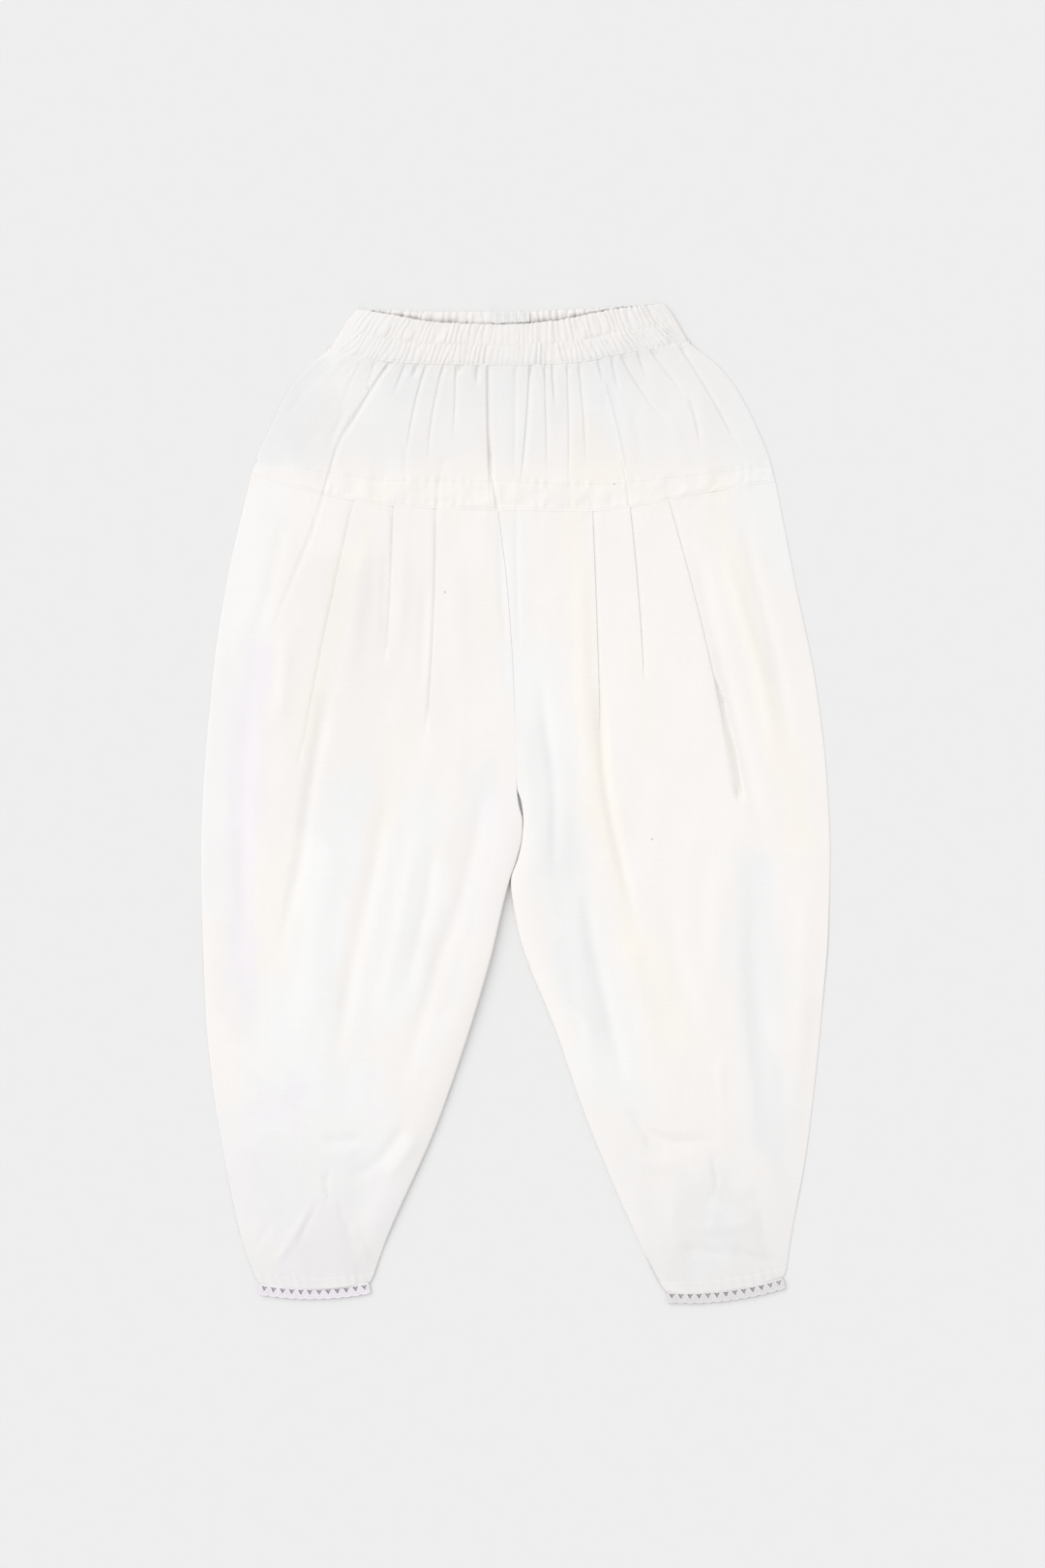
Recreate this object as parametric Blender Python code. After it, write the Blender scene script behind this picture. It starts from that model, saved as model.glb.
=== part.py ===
"""A girl's tulip shalwar in thin white cotton, laid flat and face up.

The frame is in metres: X runs to the right, Y up the garment to the waist, Z up from the surface it
lies on. The origin is on that surface, under the middle of the garment. Left and right are the sides
as seen from above. The tables are in millimetres.

Two layers of cloth lie on each other. The back panels are flat on the surface. The front panels rest
on them along their edges, and the gathers, pleats and folds loft them in between.
"""

from collections import namedtuple

import bpy
import numpy as np

MM = 0.001

CLOTH = 1.2
SEAM_GAP = 0.3
BACK_TOP = CLOTH
FRONT_UNDER = BACK_TOP + SEAM_GAP

CASING_WALL = 2.6
CASING_GAP_SIDE = 1.2
CASING_GAP_MIDDLE = 3.0
CASING_STITCH = 0.5
CASING_SIDE_REACH = 34.0
CASING_GATHERS_BESIDE_STRIP = 19
CASING_GATHERS_BACK = 38
CASING_GATHER_HEIGHT = 1.3
CENTRE_STRIP = (0.445, 0.532)

YOKE_BAND_HEIGHT = 22.0
YOKE_BAND_RAISE = 0.4
HEM_TURN_UP = 8.5
HEM_TURN_UP_RAISE = 0.5

LACE_PITCH = 6.6
LACE_DEPTH = 8.4
LACE_THICK = 1.0
LACE_HEADER = 1.5
LACE_HOLE_WIDTH = 4.8
LACE_HOLE_DEPTH = 4.3
LACE_NOTCH_DEPTH = 1.8
LACE_PICOT_WIDTH = 2.0

LABEL_WIDTH = 28.8
LABEL_HEIGHT = 16.0
LABEL_THICK = 0.6
LABEL_MIDDLE_X = -4.0
LABEL_TOP_Y = 366.0

EDGE_REACH = 30.0
PLEAT_STEP = 0.8

Edge = namedtuple("Edge", "y x")
Curve = namedtuple("Curve", "x y")
Loft = namedtuple("Loft", "y rise")
Fold = namedtuple("Fold", "x_top y_top x_end y_end bow height width side")
Hem = namedtuple("Hem", "x_inner y_inner x_outer y_outer sag")
Leg = namedtuple("Leg", "side inner outer pleats hem")
Column = namedtuple("Column", "along turn front_wave back_wave")
Row = namedtuple("Row", "x_start y_start x_end y_end")

# Outlines of the yoke, down each side from the casing to the seam
YOKE_LEFT = (
    Edge(y=337.7, x=-140.0),
    Edge(y=326.9, x=-155.2),
    Edge(y=305.3, x=-172.4),
    Edge(y=283.7, x=-182.5),
    Edge(y=262.1, x=-192.0),
    Edge(y=245.5, x=-197.0),
)
YOKE_RIGHT = (
    Edge(y=342.7, x=130.0),
    Edge(y=326.9, x=151.6),
    Edge(y=305.3, x=168.1),
    Edge(y=283.7, x=178.9),
    Edge(y=262.1, x=188.0),
    Edge(y=240.2, x=193.8),
)

# Outer edges of the legs, from the yoke seam to the hem
OUTER_LEFT = (
    Edge(y=245.2, x=-197.1),
    Edge(y=164.9, x=-215.6),
    Edge(y=92.9, x=-226.1),
    Edge(y=-36.7, x=-234.4),
    Edge(y=-151.9, x=-231.2),
    Edge(y=-209.5, x=-225.7),
    Edge(y=-267.1, x=-216.4),
    Edge(y=-321.1, x=-205.0),
    Edge(y=-357.4, x=-192.6),
)
OUTER_RIGHT = (
    Edge(y=239.9, x=193.9),
    Edge(y=164.9, x=208.4),
    Edge(y=92.9, x=223.2),
    Edge(y=20.9, x=231.8),
    Edge(y=-36.7, x=234.4),
    Edge(y=-94.3, x=233.2),
    Edge(y=-151.9, x=228.6),
    Edge(y=-209.5, x=222.8),
    Edge(y=-267.1, x=215.6),
    Edge(y=-321.1, x=205.6),
    Edge(y=-352.6, x=201.2),
)

# Inner edges of the legs: the centre front down to the crotch, then the inseams, which touch at first
INNER_LEFT = (
    Edge(y=218.2, x=-13.3),
    Edge(y=164.9, x=-6.8),
    Edge(y=92.9, x=-1.8),
    Edge(y=12.2, x=0.7),
    Edge(y=0.7, x=2.2),
    Edge(y=-12.2, x=5.2),
    Edge(y=-23.8, x=4.6),
    Edge(y=-39.6, x=0.4),
    Edge(y=-56.9, x=-4.7),
    Edge(y=-115.9, x=-18.8),
    Edge(y=-231.1, x=-55.8),
    Edge(y=-346.3, x=-104.4),
    Edge(y=-356.4, x=-107.2),
)
INNER_RIGHT = (
    Edge(y=218.2, x=-12.9),
    Edge(y=164.9, x=-6.4),
    Edge(y=92.9, x=-1.4),
    Edge(y=12.2, x=1.3),
    Edge(y=0.7, x=4.8),
    Edge(y=-12.2, x=6.2),
    Edge(y=-23.8, x=5.4),
    Edge(y=-39.6, x=2.6),
    Edge(y=-56.9, x=-3.8),
    Edge(y=-87.1, x=0.2),
    Edge(y=-173.5, x=31.6),
    Edge(y=-231.1, x=51.6),
    Edge(y=-346.3, x=101.6),
    Edge(y=-363.6, x=110.6),
)

# Edges that run across the garment
CASING_TOP_FRONT = (
    Curve(x=-120.6, y=368.6),
    Curve(x=-96.1, y=365.0),
    Curve(x=-60.1, y=358.8),
    Curve(x=-9.7, y=356.8),
    Curve(x=26.3, y=359.3),
    Curve(x=69.5, y=367.6),
    Curve(x=112.7, y=372.8),
)
CASING_TOP_BACK = (
    Curve(x=-120.6, y=368.6),
    Curve(x=-70.0, y=367.4),
    Curve(x=0.0, y=367.2),
    Curve(x=60.0, y=369.6),
    Curve(x=112.7, y=372.8),
)
CASING_BOTTOM = (
    Curve(x=-139.5, y=338.2),
    Curve(x=-121.3, y=333.4),
    Curve(x=-81.7, y=327.6),
    Curve(x=-8.3, y=326.2),
    Curve(x=47.9, y=328.3),
    Curve(x=76.7, y=334.1),
    Curve(x=129.5, y=343.2),
)
YOKE_SEAM = (
    Curve(x=-197.0, y=245.5),
    Curve(x=-139.3, y=229.4),
    Curve(x=-92.5, y=221.8),
    Curve(x=-13.3, y=218.5),
    Curve(x=56.5, y=217.8),
    Curve(x=85.0, y=220.8),
    Curve(x=113.0, y=225.9),
    Curve(x=152.6, y=233.6),
    Curve(x=193.8, y=240.2),
)

# How far the front layer is lofted off the back one, down the garment
LOFT = (
    Loft(y=345.0, rise=3.6),
    Loft(y=60.0, rise=3.6),
    Loft(y=-120.0, rise=3.3),
    Loft(y=-260.0, rise=2.5),
    Loft(y=-335.0, rise=1.1),
    Loft(y=-370.0, rise=0.3),
)
CROTCH_Y = 12.0
CROTCH_BLEND = 60.0

# Gathers of the front yoke: furrows that start at the casing and fade out lower down
YOKE_GATHERS = (
    Fold(-130.0, 336.0, -176.0, 287.0, 0.0, -0.9, 5.0, 0),
    Fold(-114.8, 332.0, -146.5, 301.7, -2.0, -1.2, 3.0, 0),
    Fold(-104.8, 330.0, -130.7, 294.5, 0.0, -1.2, 3.0, 0),
    Fold(-94.7, 329.0, -144.4, 229.6, -3.0, -2.8, 3.0, 0),
    Fold(-83.9, 328.0, -94.0, 293.8, 0.0, -1.5, 2.6, 0),
    Fold(-75.5, 327.5, -78.0, 312.0, 0.0, -1.2, 2.2, 0),
    Fold(-66.8, 327.0, -81.7, 257.0, -1.0, -2.0, 2.6, 0),
    Fold(-54.4, 326.8, -67.3, 249.8, -4.0, -2.1, 2.6, 0),
    Fold(-46.4, 326.6, -48.4, 268.6, 0.0, -1.7, 2.4, 0),
    Fold(-39.0, 326.5, -40.0, 305.3, 0.0, -1.2, 2.2, 0),
    Fold(-30.5, 326.4, -31.5, 312.5, 0.0, -1.4, 2.2, 0),
    Fold(-22.4, 326.3, -14.8, 219.5, 0.0, -3.0, 2.6, 0),
    Fold(-1.1, 326.4, -0.6, 240.0, 0.0, -0.8, 2.4, 0),
    Fold(9.7, 326.8, 2.6, 240.5, 2.5, -2.2, 2.6, 0),
    Fold(19.4, 327.0, 21.6, 265.7, 0.0, -1.8, 2.4, 0),
    Fold(27.4, 327.4, 29.4, 298.8, 0.0, -1.4, 2.2, 0),
    Fold(37.8, 328.0, 37.8, 240.0, 0.0, -1.4, 2.8, 0),
    Fold(46.5, 328.3, 51.5, 254.2, 2.0, -1.8, 2.6, 0),
    Fold(59.4, 330.5, 81.7, 222.5, 3.6, -2.1, 2.6, 0),
    Fold(69.0, 332.5, 79.0, 306.0, 0.0, -1.2, 2.4, 0),
    Fold(78.5, 334.5, 112.7, 279.4, -2.0, -1.8, 2.8, 0),
    Fold(88.5, 336.5, 96.0, 316.0, 0.0, -1.2, 2.6, 0),
    Fold(99.6, 338.5, 123.0, 307.0, 0.0, -1.5, 3.0, 0),
    Fold(112.2, 340.5, 161.6, 270.7, 3.6, -2.0, 3.0, 0),
)

# Knife pleats sewn into the yoke seam. Side is where the upper fold lies: +1 to the right, -1 to the left
PLEATS_LEFT = (
    Fold(-60.1, 220.3, -69.5, 20.9, 4.0, 1.7, 24.0, 1),
    Fold(-89.6, 221.5, -95.4, 85.7, 1.0, 1.5, 20.0, 1),
    Fold(-119.2, 225.5, -168.8, -18.7, -2.0, 1.7, 22.0, 1),
    Fold(-144.4, 230.5, -189.7, 113.0, 1.8, 1.4, 16.0, -1),
)
PLEATS_RIGHT = (
    Fold(56.5, 217.4, 60.5, 20.0, 1.5, 1.8, 24.0, -1),
    Fold(84.6, 219.8, 97.6, 35.3, 3.6, 1.6, 20.0, -1),
    Fold(112.0, 226.6, 165.2, 5.0, 3.6, 1.9, 24.0, -1),
)

# Soft furrows of the legs, where the cloth sinks between two folds
LEG_FURROWS = (
    Fold(-155.2, 28.1, -188.3, -137.5, 2.0, -1.2, 9.0, 0),
    Fold(-81.7, -0.7, -144.4, -223.9, -3.0, -0.9, 9.0, 0),
    Fold(-60.1, 20.9, -116.3, -231.1, 0.0, -0.8, 8.0, 0),
    Fold(-20.5, 35.3, -67.3, -94.3, 3.0, -0.9, 8.0, 0),
    Fold(-13.0, 217.0, -8.0, 150.0, 0.0, -1.0, 5.0, 0),
    Fold(14.0, 107.3, 28.4, -51.1, 1.5, -1.3, 7.0, 0),
    Fold(60.1, 49.7, 87.5, -90.7, -4.0, -1.3, 8.0, 0),
    Fold(47.9, -72.7, 83.9, -195.1, 0.0, -0.7, 9.0, 0),
    Fold(148.2, 92.9, 167.5, 4.0, 2.0, -1.5, 6.0, 0),
    Fold(166.7, -22.3, 176.0, -252.7, 4.0, -0.8, 11.0, 0),
    Fold(207.7, 136.0, 219.2, -22.3, 0.0, -0.5, 8.0, 0),
)

# The short dart at each hem: a stitched furrow up to its point, with a crease above it
HEM_DARTS = (
    Fold(-137.5, -268.0, -167.8, -340.0, 0.0, -0.7, 5.0, 0),
    Fold(-162.0, -224.6, -149.0, -268.0, 4.0, -0.5, 6.0, 0),
    Fold(145.4, -265.7, 137.0, -330.0, 0.0, -0.7, 5.0, 0),
    Fold(88.0, -244.0, 101.5, -262.0, 2.0, -0.5, 6.0, 0),
)

LEFT = Leg("left", INNER_LEFT, OUTER_LEFT, PLEATS_LEFT, Hem(-107.2, -356.4, -192.6, -357.4, 4.2))
RIGHT = Leg("right", INNER_RIGHT, OUTER_RIGHT, PLEATS_RIGHT, Hem(111.6, -363.6, 201.2, -352.6, 4.4))

# Columns of each front leg, between one pleat and the next, from the inner edge to the outer one
LEG_COLUMNS = {"left": (6, 2, 2, 2, 4), "right": (7, 2, 2, 6)}
LEG_ROWS = 22
BACK_LEG_ROWS = 16
BACK_LEG_COLUMNS = 13
YOKE_ROWS = 8
YOKE_COLUMNS_A_GATHER = 3
BACK_YOKE_COLUMNS = 26
BACK_YOKE_ROWS = 5
COLUMNS_A_GATHER = 3
CASING_TURN_STEPS = 3
CROSSING_STEPS = 4
YOKE_LEAST_SHARE = 0.004


def smooth(rows, at, from_column=0, to_column=1):
    """A curve without overshoot through the rows of a table, read at these positions."""
    rows = sorted(rows, key=lambda row: row[from_column])
    given = np.array([row[from_column] for row in rows])
    value = np.array([row[to_column] for row in rows])
    step = np.diff(given)
    slope = np.diff(value) / step
    tangent = np.empty(len(given))
    tangent[0], tangent[-1] = slope[0], slope[-1]
    same_way = slope[:-1] * slope[1:] > 0
    before, after = 2 * step[1:] + step[:-1], step[1:] + 2 * step[:-1]
    safe = np.where(same_way, slope[:-1] * slope[1:], 1.0)
    mean = (before + after) * safe / (before * slope[1:] + after * slope[:-1] + (~same_way))
    tangent[1:-1] = np.where(same_way, mean, 0.0)
    at = np.clip(np.asarray(at, float), given[0], given[-1])
    piece = np.clip(np.searchsorted(given, at, side="right") - 1, 0, len(step) - 1)
    t = (at - given[piece]) / step[piece]
    return (
        (2 * t**3 - 3 * t**2 + 1) * value[piece]
        + (t**3 - 2 * t**2 + t) * step[piece] * tangent[piece]
        + (3 * t**2 - 2 * t**3) * value[piece + 1]
        + (t**3 - t**2) * step[piece] * tangent[piece + 1]
    )


def outline(edge, y):
    """X of an edge at these heights down the garment."""
    return smooth(edge, y)


def ease(share):
    """0 to 1 with a soft start and end."""
    share = np.clip(share, 0.0, 1.0)
    return share * share * (3.0 - 2.0 * share)


def rounded_edge(distance, reach):
    """0 at an edge, rising as a quarter round to 1 at this reach from it."""
    inward = np.clip(distance / reach, 0.0, 1.0)
    return np.sqrt(1.0 - (1.0 - inward) ** 2)


def fold_x(fold, y):
    """X of a fold's line at these heights. Past its ends the line runs straight on."""
    share = (fold.y_top - y) / (fold.y_top - fold.y_end)
    held = np.clip(share, 0.0, 1.0)
    return fold.x_top + (fold.x_end - fold.x_top) * share + 4 * fold.bow * held * (1 - held)


def fold_height(fold, x, y):
    """What one fold adds to the front layer's height: a furrow, or a knife pleat's step."""
    length = fold.y_top - fold.y_end
    share = (fold.y_top - y) / length
    lean = (fold.x_end - fold.x_top) / length
    off = (x - fold_x(fold, y)) / np.sqrt(1.0 + lean * lean)
    fade = ease((1.0 - share) / 0.45)
    if fold.side == 0:
        start = ease((share + 0.12) / 0.12)
        return fold.height * start * fade * np.exp(-((off / fold.width) ** 2))
    above = off * fold.side
    upper = np.where(above > 0, np.exp(-((above / fold.width) ** 2)), 0.0)
    return fold.height * np.where(share < 0, 0.0, fade) * upper


def front_under(x, y, folds):
    """Height of the front layer's underside over the surface."""
    x, y = np.broadcast_arrays(np.asarray(x, float), np.asarray(y, float))
    seam_left, seam_right = YOKE_LEFT[-1].y, YOKE_RIGHT[-1].y
    left = np.where(y > seam_left, outline(YOKE_LEFT, y), outline(OUTER_LEFT, y))
    right = np.where(y > seam_right, outline(YOKE_RIGHT, y), outline(OUTER_RIGHT, y))
    side = np.minimum(rounded_edge(x - left, EDGE_REACH), rounded_edge(right - x, EDGE_REACH))
    middle = (outline(INNER_LEFT, y) + outline(INNER_RIGHT, y)) / 2
    inner = np.where(x < middle, outline(INNER_LEFT, y) - x, x - outline(INNER_RIGHT, y))
    parted = ease((CROTCH_Y + CROTCH_BLEND / 4 - y) / CROTCH_BLEND)
    inseam = 1.0 - parted * (1.0 - rounded_edge(inner, EDGE_REACH))
    height = smooth(LOFT, y) * side * inseam
    flat_rim = side * inseam
    for fold in folds:
        height = height + fold_height(fold, x, y) * flat_rim
    return FRONT_UNDER + np.maximum(height, 0.0)


def cloth_material(name, colour, roughness):
    """A matt cloth finish."""
    material = bpy.data.materials.new(name)
    material.use_nodes = True
    shader = material.node_tree.nodes["Principled BSDF"]
    shader.inputs["Base Color"].default_value = (*colour, 1.0)
    shader.inputs["Roughness"].default_value = roughness
    shader.inputs["Metallic"].default_value = 0.0
    return material


def solid_between(name, upper, under, material, round_columns=False):
    """A closed wall between two grids of points, rows by columns, which share their layout.

    With round_columns the last column joins the first, so the wall is a ring."""
    rows, columns = upper.shape[:2]
    points = np.concatenate([upper.reshape(-1, 3), under.reshape(-1, 3)]) * MM
    beneath = rows * columns

    def at(row, column):
        """The number of the point at this row and column."""
        return row * columns + column % columns

    faces = []
    for row in range(rows - 1):
        for column in range(columns if round_columns else columns - 1):
            quad = [at(row, column), at(row + 1, column), at(row + 1, column + 1), at(row, column + 1)]
            faces.append(quad)
            faces.append([beneath + corner for corner in reversed(quad)])
    rims = []
    for column in range(columns if round_columns else columns - 1):
        rims.append((at(0, column), at(0, column + 1)))
        rims.append((at(rows - 1, column + 1), at(rows - 1, column)))
    if not round_columns:
        for row in range(rows - 1):
            rims.append((at(row + 1, 0), at(row, 0)))
            rims.append((at(row, columns - 1), at(row + 1, columns - 1)))
    faces.extend([first, second, beneath + second, beneath + first] for first, second in rims)
    mesh = bpy.data.meshes.new(name)
    mesh.from_pydata(points.tolist(), [], faces)
    mesh.materials.append(material)
    mesh.shade_smooth()
    mesh.set_sharp_from_angle(angle=np.radians(50))
    made = bpy.data.objects.new(name, mesh)
    bpy.context.scene.collection.objects.link(made)
    return made


def wall(x, y, under, thick):
    """Upper and lower grids of a wall of this thickness, from its plan and its underside."""
    return np.dstack([x, y, under + thick]), np.dstack([x, y, under])


def spread(marks, counts, half_gap=0.0):
    """Columns through these marks, with this many even steps between each mark and the next.

    With half_gap each mark between the ends becomes a pair of columns, this far to each side of it."""
    columns = [marks[0]]
    last = len(marks) - 2
    for index, count in enumerate(counts):
        first = marks[index] + (half_gap if index > 0 else 0.0)
        second = marks[index + 1] - (half_gap if index < last else 0.0)
        if index > 0 and half_gap > 0:
            columns.append(first)
        for step in range(1, count + 1):
            columns.append(first + (second - first) * step / count)
    return columns


def crossing(fold, row, bend, start_edge, end_edge):
    """Share of the way along a row at which a fold's line crosses it.

    Below the fold's end the line keeps the share of the panel's width that it has there."""
    share = 0.5
    for _ in range(CROSSING_STEPS):
        x = row.x_start + (row.x_end - row.x_start) * share
        y = row.y_start + (row.y_end - row.y_start) * share + bend(x, share)
        held_y = min(max(y, fold.y_end), fold.y_top)
        share = (float(fold_x(fold, held_y)) - row.x_start) / (row.x_end - row.x_start)
    if y <= fold.y_end:
        start_x = float(outline(start_edge, fold.y_end))
        share = (fold.x_end - start_x) / (float(outline(end_edge, fold.y_end)) - start_x)
    return share


def leg_plan(leg, rows, marks_of):
    """X and Y of a leg panel's grid. marks_of gives a row's columns as shares from inner to outer."""
    xs, ys = [], []
    inner_top, outer_top = leg.inner[0].y, leg.outer[0].y
    for down in rows:
        inner_y = inner_top + (leg.hem.y_inner - inner_top) * down
        outer_y = outer_top + (leg.hem.y_outer - outer_top) * down
        row = Row(float(outline(leg.inner, inner_y)), inner_y, float(outline(leg.outer, outer_y)), outer_y)

        def bend(x, share, down=down):
            """How far the row bows up or down from a straight line, for the seam and the hem."""
            seam_y = smooth(YOKE_SEAM, x) - SEAM_GAP
            seam_bulge = seam_y - (inner_top + (outer_top - inner_top) * share)
            return seam_bulge * (1 - down) ** 3 - 4 * leg.hem.sag * share * (1 - share) * down**4

        share = np.array(marks_of(row, bend))
        x = row.x_start + (row.x_end - row.x_start) * share
        xs.append(x)
        ys.append(row.y_start + (row.y_end - row.y_start) * share + bend(x, share))
    return np.array(xs), np.array(ys)


def leg_rows(count, leg):
    """Shares down a leg, closer at the seam and with two rows at the hem's turn-up."""
    length = leg.outer[0].y - leg.hem.y_outer
    turn_up = 1.0 - HEM_TURN_UP / length
    even = np.linspace(0.0, 1.0, count)[:-1]
    rows = [share for share in even if share < turn_up - 0.02]
    return [*rows, turn_up - 0.002, turn_up, 1.0]


def front_leg(leg, material):
    """A front leg panel. A pair of columns follows each pleat's line, one on each side of its step."""
    counts = LEG_COLUMNS[leg.side]

    def marks_of(row, bend):
        """A row's columns: a pair at each pleat and even steps between."""
        marks = [crossing(pleat, row, bend, leg.inner, leg.outer) for pleat in leg.pleats]
        return spread([0.0, *marks, 1.0], counts, PLEAT_STEP / abs(row.x_end - row.x_start))

    x, y = leg_plan(leg, leg_rows(LEG_ROWS, leg), marks_of)
    under = front_under(x, y, leg.pleats + LEG_FURROWS + HEM_DARTS)
    thick = np.full(x.shape, CLOTH)
    thick[-2:] += HEM_TURN_UP_RAISE
    return solid_between(f"leg_front_{leg.side}", *oriented(*wall(x, y, under, thick)), material)


def back_leg(leg, material):
    """A back leg panel, flat on the surface."""
    even = np.linspace(0.0, 1.0, BACK_LEG_COLUMNS + 1)
    x, y = leg_plan(leg, np.linspace(0.0, 1.0, BACK_LEG_ROWS + 1), lambda *_: even)
    return solid_between(f"leg_back_{leg.side}", *oriented(*wall(x, y, np.zeros(x.shape), CLOTH)), material)


def oriented(upper, under):
    """The two grids with their columns running to the right, so that the wall's faces point out."""
    if upper[0, 0, 0] > upper[0, -1, 0]:
        return upper[:, ::-1], under[:, ::-1]
    return upper, under


def yoke_plan(rows, marks_of):
    """X and Y of a yoke panel's grid, between the casing and the seam."""
    xs, ys = [], []
    top, bottom = (YOKE_LEFT[0].y, YOKE_RIGHT[0].y), (YOKE_LEFT[-1].y, YOKE_RIGHT[-1].y)
    for down in rows:
        left_y = top[0] + (bottom[0] - top[0]) * down
        right_y = top[1] + (bottom[1] - top[1]) * down
        row = Row(float(outline(YOKE_LEFT, left_y)), left_y, float(outline(YOKE_RIGHT, right_y)), right_y)

        def bend(x, share, down=down):
            """How far the row bows up or down from a straight line, for the casing and the seam."""
            top_bulge = smooth(CASING_BOTTOM, x) - SEAM_GAP - (top[0] + (top[1] - top[0]) * share)
            seam_bulge = smooth(YOKE_SEAM, x) - (bottom[0] + (bottom[1] - bottom[0]) * share)
            return top_bulge * (1 - down) + seam_bulge * down

        share = np.array(marks_of(row, bend))
        x = row.x_start + (row.x_end - row.x_start) * share
        xs.append(x)
        ys.append(row.y_start + (row.y_end - row.y_start) * share + bend(x, share))
    return np.array(xs), np.array(ys)


def front_yoke(material):
    """The front yoke. Its columns follow the gathers, and a doubled band runs along the seam."""

    def marks_of(row, bend):
        """A row's columns: one on each gather's line and even steps between."""
        shares = [0.0]
        for fold in YOKE_GATHERS:
            share = crossing(fold, row, bend, YOKE_LEFT, YOKE_RIGHT)
            shares.append(max(share, shares[-1] + YOKE_LEAST_SHARE))
        return spread([*shares, 1.0], [YOKE_COLUMNS_A_GATHER] * len(shares))

    band = 1.0 - YOKE_BAND_HEIGHT / (YOKE_LEFT[0].y - YOKE_SEAM[3].y)
    x, y = yoke_plan([*np.linspace(0.0, band, YOKE_ROWS), band + 0.01, 1.0], marks_of)
    under = front_under(x, y, YOKE_GATHERS)
    thick = np.full(x.shape, CLOTH)
    thick[-2:] += YOKE_BAND_RAISE
    return solid_between("yoke_front", *wall(x, y, under, thick), material)


def back_yoke(material):
    """The back yoke, flat on the surface."""
    even = np.linspace(0.0, 1.0, BACK_YOKE_COLUMNS + 1)
    x, y = yoke_plan(np.linspace(0.0, 1.0, BACK_YOKE_ROWS + 1), lambda *_: even)
    return solid_between("yoke_back", *wall(x, y, np.zeros(x.shape), CLOTH), material)


def gather_columns(start, end, count, phase):
    """Shares along the casing and how high the cloth stands there, for gathers of uneven width."""
    number = np.arange(count + 1)
    edges = start + (end - start) * (number + 0.22 * np.sin(2.7 * number + phase)) / count
    edges[0], edges[-1] = start, end
    found = []
    for index in range(count):
        height = 0.8 + 0.2 * np.sin(1.9 * index + phase)
        for step in range(COLUMNS_A_GATHER):
            share = step / COLUMNS_A_GATHER
            along = edges[index] + (edges[index + 1] - edges[index]) * share
            found.append((along, -height if step == 0 else height))
    return found


def casing_columns():
    """Columns round the casing: the front to the right, a turn, the back to the left, a turn."""
    strip_start, strip_end = CENTRE_STRIP
    front = gather_columns(0.0, strip_start, CASING_GATHERS_BESIDE_STRIP, 0.4)
    front += [(strip_start, -0.6), (strip_start + 0.004, 0.5), (strip_end - 0.004, 0.5)]
    front += gather_columns(strip_end, 1.0, CASING_GATHERS_BESIDE_STRIP, 1.7)
    back = gather_columns(0.0, 1.0, CASING_GATHERS_BACK, 2.9)
    columns = [Column(along, 90.0, wave, 0.0) for along, wave in front]
    turns = np.linspace(90.0, -90.0, CASING_TURN_STEPS + 2)[1:-1]
    columns += [Column(1.0, turn, 0.0, 0.0) for turn in [90.0, *turns]]
    columns += [Column(along, -90.0, 0.0, wave) for along, wave in reversed(back)]
    columns += [Column(0.0, turn, 0.0, 0.0) for turn in turns[::-1]]
    return columns


def casing(material):
    """The elastic casing: one flattened ring, gathered on the faces that look up."""
    heights = (0.0, 0.25, CASING_STITCH, 0.76, 1.0)
    fullness = (0.75, 1.0, 0.2, 1.0, 0.6)
    top_left, top_right = CASING_TOP_FRONT[0].x, CASING_TOP_FRONT[-1].x
    low_left, low_right = CASING_BOTTOM[0].x, CASING_BOTTOM[-1].x
    half_wall = CASING_WALL / 2
    outer = np.zeros((len(heights), len(casing_columns()), 3))
    inner = outer.copy()
    for index, column in enumerate(casing_columns()):
        top_x = top_left + (top_right - top_left) * column.along
        low_x = low_left + (low_right - low_left) * column.along
        radians = np.radians(column.turn)
        front_top = float(smooth(CASING_TOP_FRONT, top_x))
        back_top = float(smooth(CASING_TOP_BACK, top_x))
        top_y = front_top if column.turn > 0 else back_top
        low_y = float(smooth(CASING_BOTTOM, low_x))
        side_distance = min(column.along, 1.0 - column.along) * (low_right - low_left)
        open_share = float(rounded_edge(side_distance, CASING_SIDE_REACH))
        gap = CASING_GAP_SIDE + (CASING_GAP_MIDDLE - CASING_GAP_SIDE) * open_share
        radius = (gap + CASING_WALL) / 2
        outward = np.cos(radians) if abs(column.turn) < 90 else 0.0
        outward *= 1.0 if column.along > 0.5 else -1.0
        calm = float(rounded_edge(side_distance, 12.0))
        for row, (height, full) in enumerate(zip(heights, fullness)):
            x = low_x + (top_x - low_x) * height
            y = low_y + (top_y - low_y) * height
            lift = CASING_GATHER_HEIGHT * full * calm
            out = radius + half_wall + lift * column.front_wave * 0.5
            into = radius - half_wall - lift * column.back_wave * 0.5
            centre = half_wall + radius
            outer[row, index] = (x + outward * out, y, centre + np.sin(radians) * out)
            inner[row, index] = (x + outward * into, y, centre + np.sin(radians) * into)
    outer[:, :, 2] = np.maximum(outer[:, :, 2], 0.0)
    return solid_between("waistband", outer[::-1], inner[::-1], material, round_columns=True)


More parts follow.
